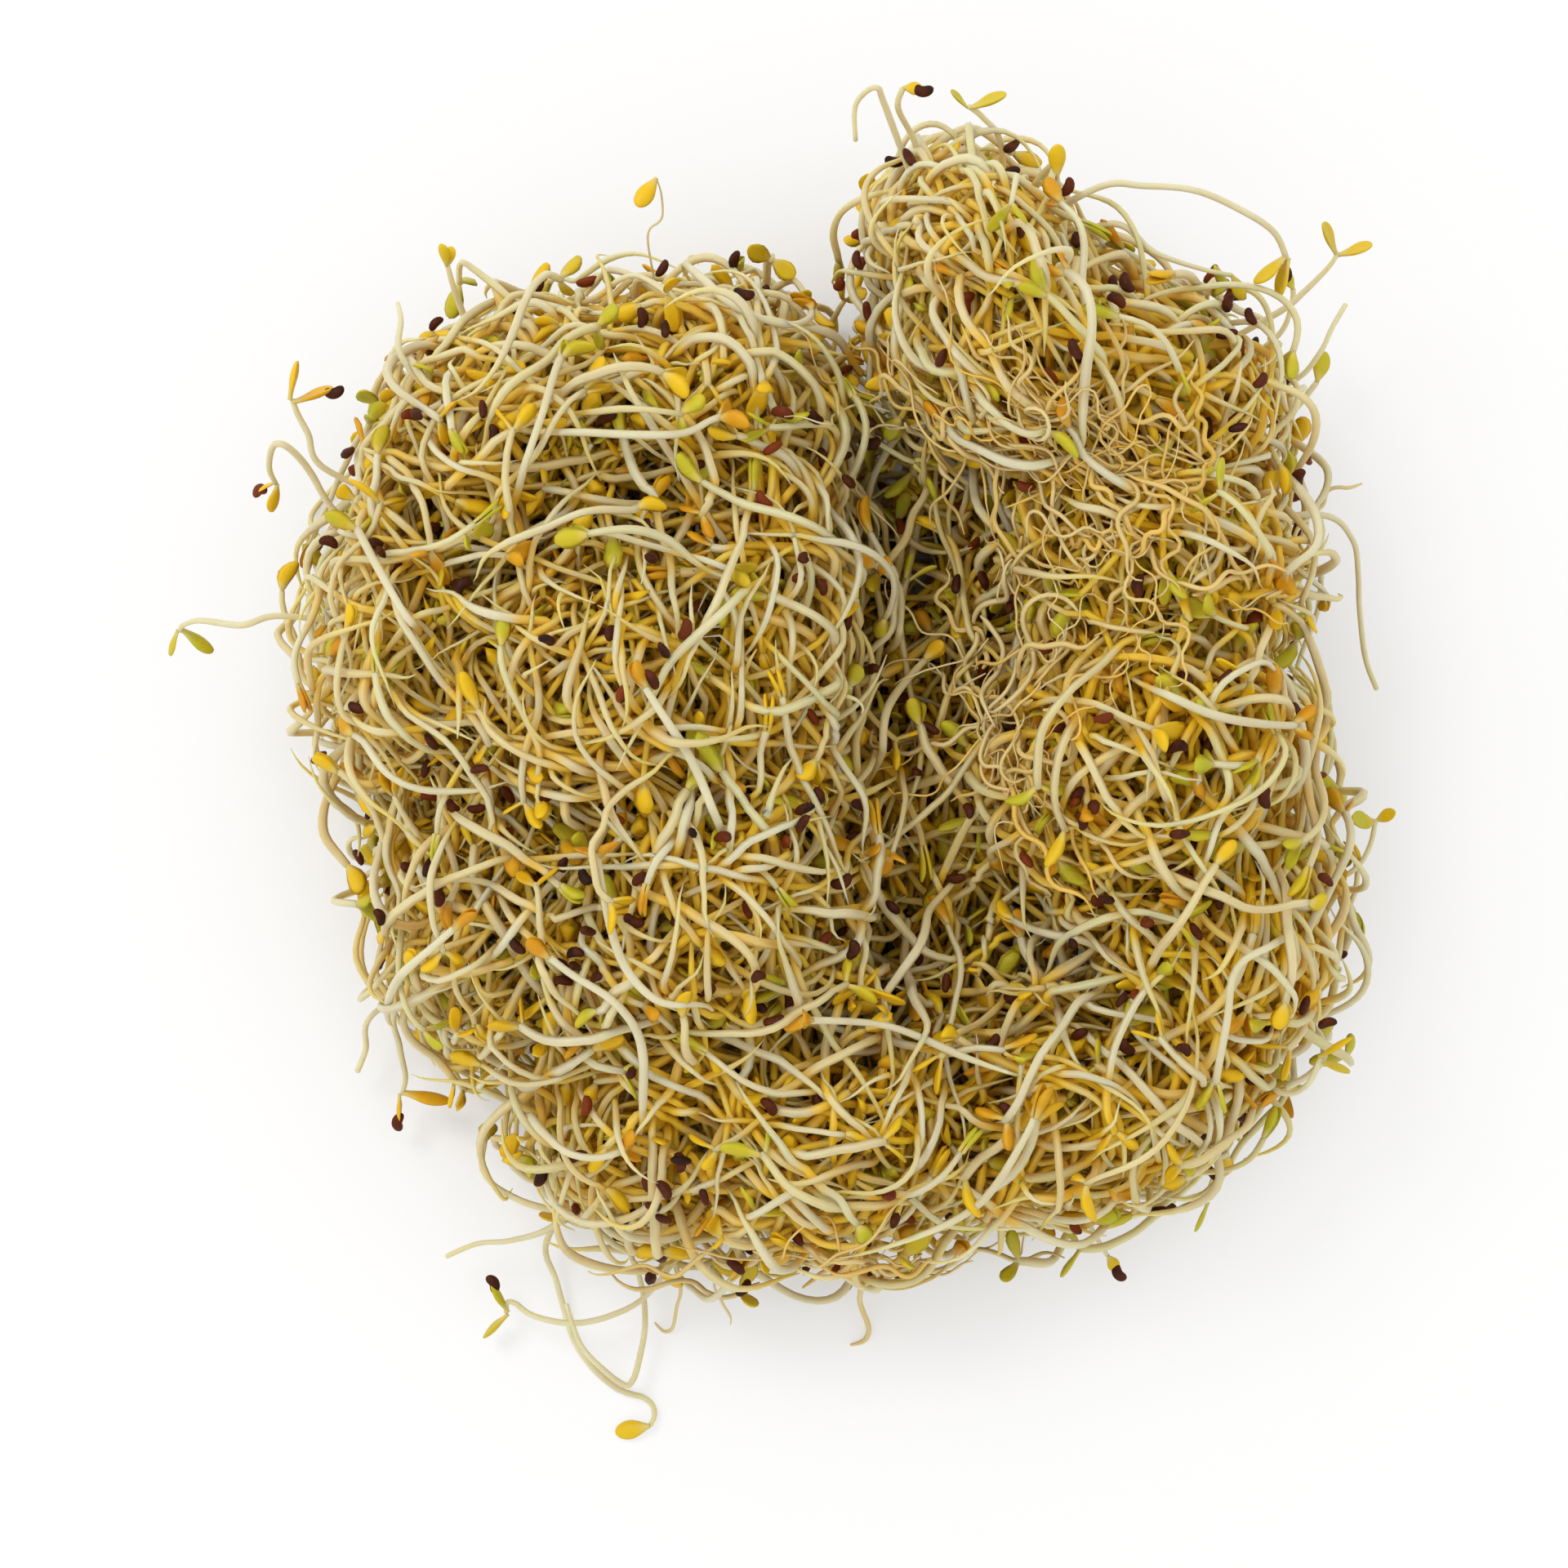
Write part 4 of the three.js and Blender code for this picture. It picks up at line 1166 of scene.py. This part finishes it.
for stray, name in enumerate(STRAYS):
    chosen = np.flatnonzero(kind == STRAY)[stray:stray + 1]
    is_root = stray_is_root[stray]
    make_piece(f"{name}_root" if is_root else f"{name}_stem",
               [tubes_of(chosen, STRAY_GRID, 0)], root_flesh if is_root else stem_flesh,
               [f"seedling_{name}"])


# ---- the seed leaves ----
# Each seedling opens two thick spoon-shaped seed leaves, mustard, orange-brown or olive green.
# About two in three stand open in a V, and the rest lie face to face like a beak. They grow on
# the stem's end as one piece with it.

# How finely a leaf is made, as its rings and sides, and the depths where that changes.
LEAF_GRID = [(6, 6), (4, 5), (2, 4)]
LEAF_DEPTHS = (1.5 * MM, 4.5 * MM)
LEAF_LENGTH_RANGE = (2.9 * MM, 4.3 * MM)
LEAF_WIDTH = 2.1 * MM
LEAF_THICK = 0.42 * MM
LEAF_HALF_GAP = 0.10 * MM
BLADE_FROM = 0.03
BROADEST = 0.58
INNER_BULGE = 0.25
EDGES_TURNED_IN = 0.22
PETIOLE = 0.30 * MM
PETIOLE_TO = 0.4
OPEN_SHARE = 0.65
OPEN_DEGREES, SHUT_DEGREES = (45, 140), (0, 12)


def leaf_forms(base, way, outer, across, length, curl, grid, size):
    """Spoon-shaped leaves. Ring s of a leaf stands s * length along its way, bent by curl * s^2
    across it. Its half width is a petiole's that fades, plus a blade's, which rises as a
    sine and falls as a circle. It is thick on its outer face and nearly flat on its inner one,
    and its edges turn inwards."""
    rings, sides = grid
    share = np.linspace(0.0, 1.0, rings + 2)[1:-1]
    share = 0.5 - 0.5 * np.cos(math.pi * share)
    grown = np.clip((share - BLADE_FROM) / (BROADEST - BLADE_FROM), 0, 1)
    rise = np.sin(math.pi / 2 * grown) ** 1.1
    fall = np.sqrt(1 - np.clip((share - BROADEST) / (1 - BROADEST), 0, 1) ** 2)
    blade = rise * fall
    petiole = np.clip(1 - share / PETIOLE_TO, 0, 1) ** 1.5
    half = (PETIOLE * petiole + 0.5 * LEAF_WIDTH * blade)[None, :, None] * size[:, None, None]
    thick = (PETIOLE * petiole + LEAF_THICK * (0.25 + 0.75 * blade))[None, :, None]
    thick = thick * size[:, None, None]
    angle = TAU * np.arange(sides) / sides
    cos, sin = np.cos(angle), np.sin(angle)
    lift = np.where(sin > 0, sin, INNER_BULGE * sin) * thick
    lift += LEAF_HALF_GAP - EDGES_TURNED_IN * half * cos ** 2 * blade[:, None]
    axis = base[:, None] + way[:, None] * (share[:, None] * length[:, None, None])
    axis = axis + curl[:, None] * (share ** 2)[:, None] * length[:, None, None]
    ring_points = (axis[:, :, None] + across[:, None, None] * (half * cos)[..., None]
                   + outer[:, None, None] * lift[..., None])
    tip = base + (way + curl) * length[:, None] + outer * LEAF_HALF_GAP
    points = np.concatenate([base[:, None] - way[:, None] * 0.1 * MM,
                             ring_points.reshape(len(base), -1, 3), tip[:, None]], axis=1)
    return points, np.repeat(share[None], len(base), axis=0)


def leaf_pairs(base, way, side, length, opening, curl, grid, size):
    """Both leaves of each pair: one turned out to one side by half the opening, one the other."""
    batches, alongs = [], []
    for turn in (1, -1):
        outer = side * turn
        half = (opening / 2)[:, None]
        own_way = way * np.cos(half) + outer * np.sin(half)
        own_outer = outer * np.cos(half) - way * np.sin(half)
        points, along = leaf_forms(base, own_way, own_outer, np.cross(own_way, own_outer),
                                   length, curl, grid, size)
        batches.append(points)
        alongs.append(along)
    return np.concatenate(batches), np.concatenate(alongs)


MUSTARD = (0.80, 0.50, 0.012, 1)
ORANGE_BROWN = (0.66, 0.28, 0.010, 1)
OLIVE = (0.50, 0.47, 0.025, 1)
LEAF_PALE = (0.66, 0.56, 0.20, 1)


def leaf_material():
    """Mustard leaves, some orange-brown and some olive, paler towards the stem."""
    material, tree, shader = new_material("seed_leaf", 0.2, 0.42)
    along, luck, luck_two, _ = colour_split(tree)
    mask = add_uneven(tree, shader, 420.0, 2200.0, 0.3, 0.0002)
    colour = blend_colours(tree, spread(tree, luck, 0.55, 0.9), MUSTARD, ORANGE_BROWN)
    colour = blend_colours(tree, spread(tree, luck_two, 0.58, 0.74), colour, OLIVE)
    colour = blend_colours(tree, spread(tree, along, 0.42, 0.05, 0.0, 0.8), colour, LEAF_PALE)
    colour = blotched(tree, mask, 0.3, colour, MUSTARD)
    tree.links.new(colour, shader.inputs["Base Color"])
    return material


seed_leaf = leaf_material()


def pairs_of(chosen, grid):
    """The leaf pairs of the chosen strands, on the way their first stations take."""
    path = routes[chosen]
    base, tip = path[:, STEM_START], path[:, 0]
    way = unit(base - path[:, STEM_START + 1])
    curl = unit(tip - base) - way
    side = unit(np.cross(way, pair_roll[chosen]))
    points, along = leaf_pairs(base, way, side, pair_length[chosen], pair_opening[chosen],
                               0.8 * curl, grid, pair_size[chosen])
    luck = np.tile(strand_luck[chosen], (2, 1))
    gold = np.tile(painted_gold_shade[chosen, :1], (2, grid[0]))
    return points, grid, form_tints(along, luck, gold, grid[1])


pair_roll = rng.normal(size=(len(routes), 3))
pair_length = rng.uniform(*LEAF_LENGTH_RANGE, len(routes))
pair_size = rng.uniform(0.85, 1.15, len(routes))
pair_opening = np.radians(np.where(rng.random(len(routes)) < OPEN_SHARE,
                                   rng.uniform(*OPEN_DEGREES, len(routes)),
                                   rng.uniform(*SHUT_DEGREES, len(routes))))

leaf_fineness = np.digitize(-outside[:, 2], LEAF_DEPTHS)
leaf_fineness[kind == TOPS] = FINE
for lobe, name in enumerate(lobe_names):
    batches = []
    for level, grid in enumerate(LEAF_GRID):
        chosen = np.flatnonzero((strand_lobe == lobe) & (kind < PATCH_ROOTS)
                                & (leaf_fineness == level))
        if len(chosen):
            batches.append(pairs_of(chosen, grid))
    make_piece(f"leaves_{name}", batches, seed_leaf)

STRAY_LEAF_GRID = (14, 14)
RIPE_STRAYS = ("shoulder_pair", "drooping_hook", "crown_root", "brown_foot")
for name, stray in STRAYS.items():
    tips = np.array(stray.get("leaves", []) + ([stray["hull"]] if "hull" in stray else [])) * MM
    if not len(tips):
        continue
    base = np.repeat(np.array(stray["stem"][:1]) * MM, len(tips), axis=0)
    way = unit(tips - base)
    length = np.linalg.norm(tips - base, axis=1)
    apart = way - way[::-1] if len(tips) > 1 else np.array([[0.1, 0.2, 1.0]])
    outer = unit(apart - way * (apart * way).sum(1, keepdims=True))
    points, along = leaf_forms(base, way, outer, np.cross(way, outer), length,
                               -0.08 * outer, STRAY_LEAF_GRID, np.clip(length / (4 * MM), 0.7, 1.2))
    luck = rng.uniform((0.0, 0.60), (0.5, 0.73), (len(tips), 2))
    luck -= (-0.4, 0.5) if name in RIPE_STRAYS else (0, 0)
    make_piece(f"{name}_leaves", [(points, STRAY_LEAF_GRID,
                                   form_tints(along, luck, 0 * along, STRAY_LEAF_GRID[1]))],
               seed_leaf)


# ---- the seed hulls ----
# Each seedling leaves a papery kidney-shaped hull, wet and dark, red-brown to nearly black. Most
# hulls lie caught among the stems near the top, and a few still cling to a leaf's tip.

HULLS = 400
HULL_TRIES = 24000
HULL_DEPTHS = (-0.8 * MM, 6 * MM)
# A hull lies where no stem's middle is within the first of these, and one is within the second.
HULL_CLEAR, HULL_HELD = 0.92 * MM, 1.3 * MM
HULL_GRID = (6, 7)
HULL_LENGTH = 2.3 * MM
STRAY_HULL_GRID = (14, 14)


def hull_forms(middle, way, side, length, grid):
    """Kidney-shaped hulls: an egg 0.62 as wide and 0.44 as thick as it is long, bent sideways by
    a parabola and pressed in at the middle of its hollow side."""
    rings, sides = grid
    share = np.linspace(0, 1, rings + 2)[1:-1]
    angle = TAU * np.arange(sides) / sides
    level = -np.cos(math.pi * share)
    girth = np.sin(math.pi * share) ** 0.85
    across = np.cross(way, side)
    cos, sin = np.cos(angle), np.sin(angle)
    dent = 0.10 * np.exp(-(level / 0.35) ** 2)[:, None] * np.clip(-cos, 0, 1) ** 2
    broad = 0.31 * girth[:, None] * cos + dent + 0.10 * (1 - level[:, None] ** 2) - 0.05
    thick = 0.22 * girth[:, None] * sin
    size = length[:, None, None]
    lengthways = 0.5 * level[:, None] * size
    ring_points = middle[:, None, None] + sum(
        axis[:, None, None] * amount[..., None]
        for axis, amount in ((way, lengthways), (side, broad * size), (across, thick * size)))
    ends = [middle + way * length[:, None] * half - side * length[:, None] * 0.05
            for half in (-0.5, 0.5)]
    points = np.concatenate([ends[0][:, None], ring_points.reshape(len(middle), -1, 3),
                             ends[1][:, None]], axis=1)
    return points, np.repeat(share[None], len(middle), axis=0)


HULL_BROWN = (0.060, 0.014, 0.005, 1)
HULL_RED = (0.20, 0.036, 0.006, 1)
HULL_BLACK = (0.016, 0.007, 0.005, 1)


def hull_material():
    """Dark wet hulls, from red-brown to nearly black, blotched and finely wrinkled."""
    material, tree, shader = new_material("seed_hull", 0.12, 0.5)
    _, luck, luck_two, _ = colour_split(tree)
    mask = add_uneven(tree, shader, 700.0, 3200.0, 0.5, 0.0002)
    colour = blend_colours(tree, luck, HULL_BROWN, HULL_BLACK)
    colour = blend_colours(tree, spread(tree, luck_two, 0.6, 1.0), colour, HULL_RED)
    colour = blotched(tree, mask, 0.35, colour, HULL_RED)
    tree.links.new(colour, shader.inputs["Base Color"])
    return material


seed_hull = hull_material()


def roomy(places, gap):
    """Whether each place is clear of every strand by more than the gap."""
    strands = routes.reshape(-1, 3)
    here, there = close_pairs(np.concatenate([places, strands]), gap)
    crowded = np.concatenate([here[there >= len(places)], there[here >= len(places)]])
    crowded = crowded[crowded < len(places)]
    clear = np.ones(len(places), bool)
    clear[crowded] = False
    return clear


def make_hulls(name, middle, way, side, length, luck, grid, stands_for=()):
    """One piece of hulls."""
    points, along = hull_forms(middle, way, side, length, grid)
    tints = form_tints(along, luck, 0 * along, grid[1])
    make_piece(name, [(points, grid, tints)], seed_hull, stands_for)


tries, _ = scattered(HULL_TRIES, *HULL_DEPTHS, 1.0)
hull_places = tries[roomy(tries, HULL_CLEAR) & ~roomy(tries, HULL_HELD)][:HULLS]
hull_way = unit(rng.normal(size=hull_places.shape))
hull_side = unit(np.cross(hull_way, rng.normal(size=hull_places.shape)))
hull_lobe = lobe_distances(hull_places)[0].argmin(1)
hull_luck = rng.random((len(hull_places), 2))
hull_length = HULL_LENGTH * rng.uniform(0.85, 1.1, len(hull_places))
for lobe, name in enumerate(lobe_names):
    chosen = hull_lobe == lobe
    if chosen.any():
        make_hulls(f"hulls_{name}", hull_places[chosen], hull_way[chosen], hull_side[chosen],
                   hull_length[chosen], hull_luck[chosen], HULL_GRID)

for name, stray in STRAYS.items():
    if "hull" in stray:
        middle = np.mean([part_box(f"hull_{name}")], axis=1)
        way = unit(middle - np.array(stray["stem"][:1]) * MM)
        side = unit(np.cross(way, [[0.3, 0.2, 1.0]]))
        make_hulls(f"{name}_hull", middle, way, side, np.array([HULL_LENGTH]),
                   rng.random((1, 2)), STRAY_HULL_GRID, [f"hull_{name}"])
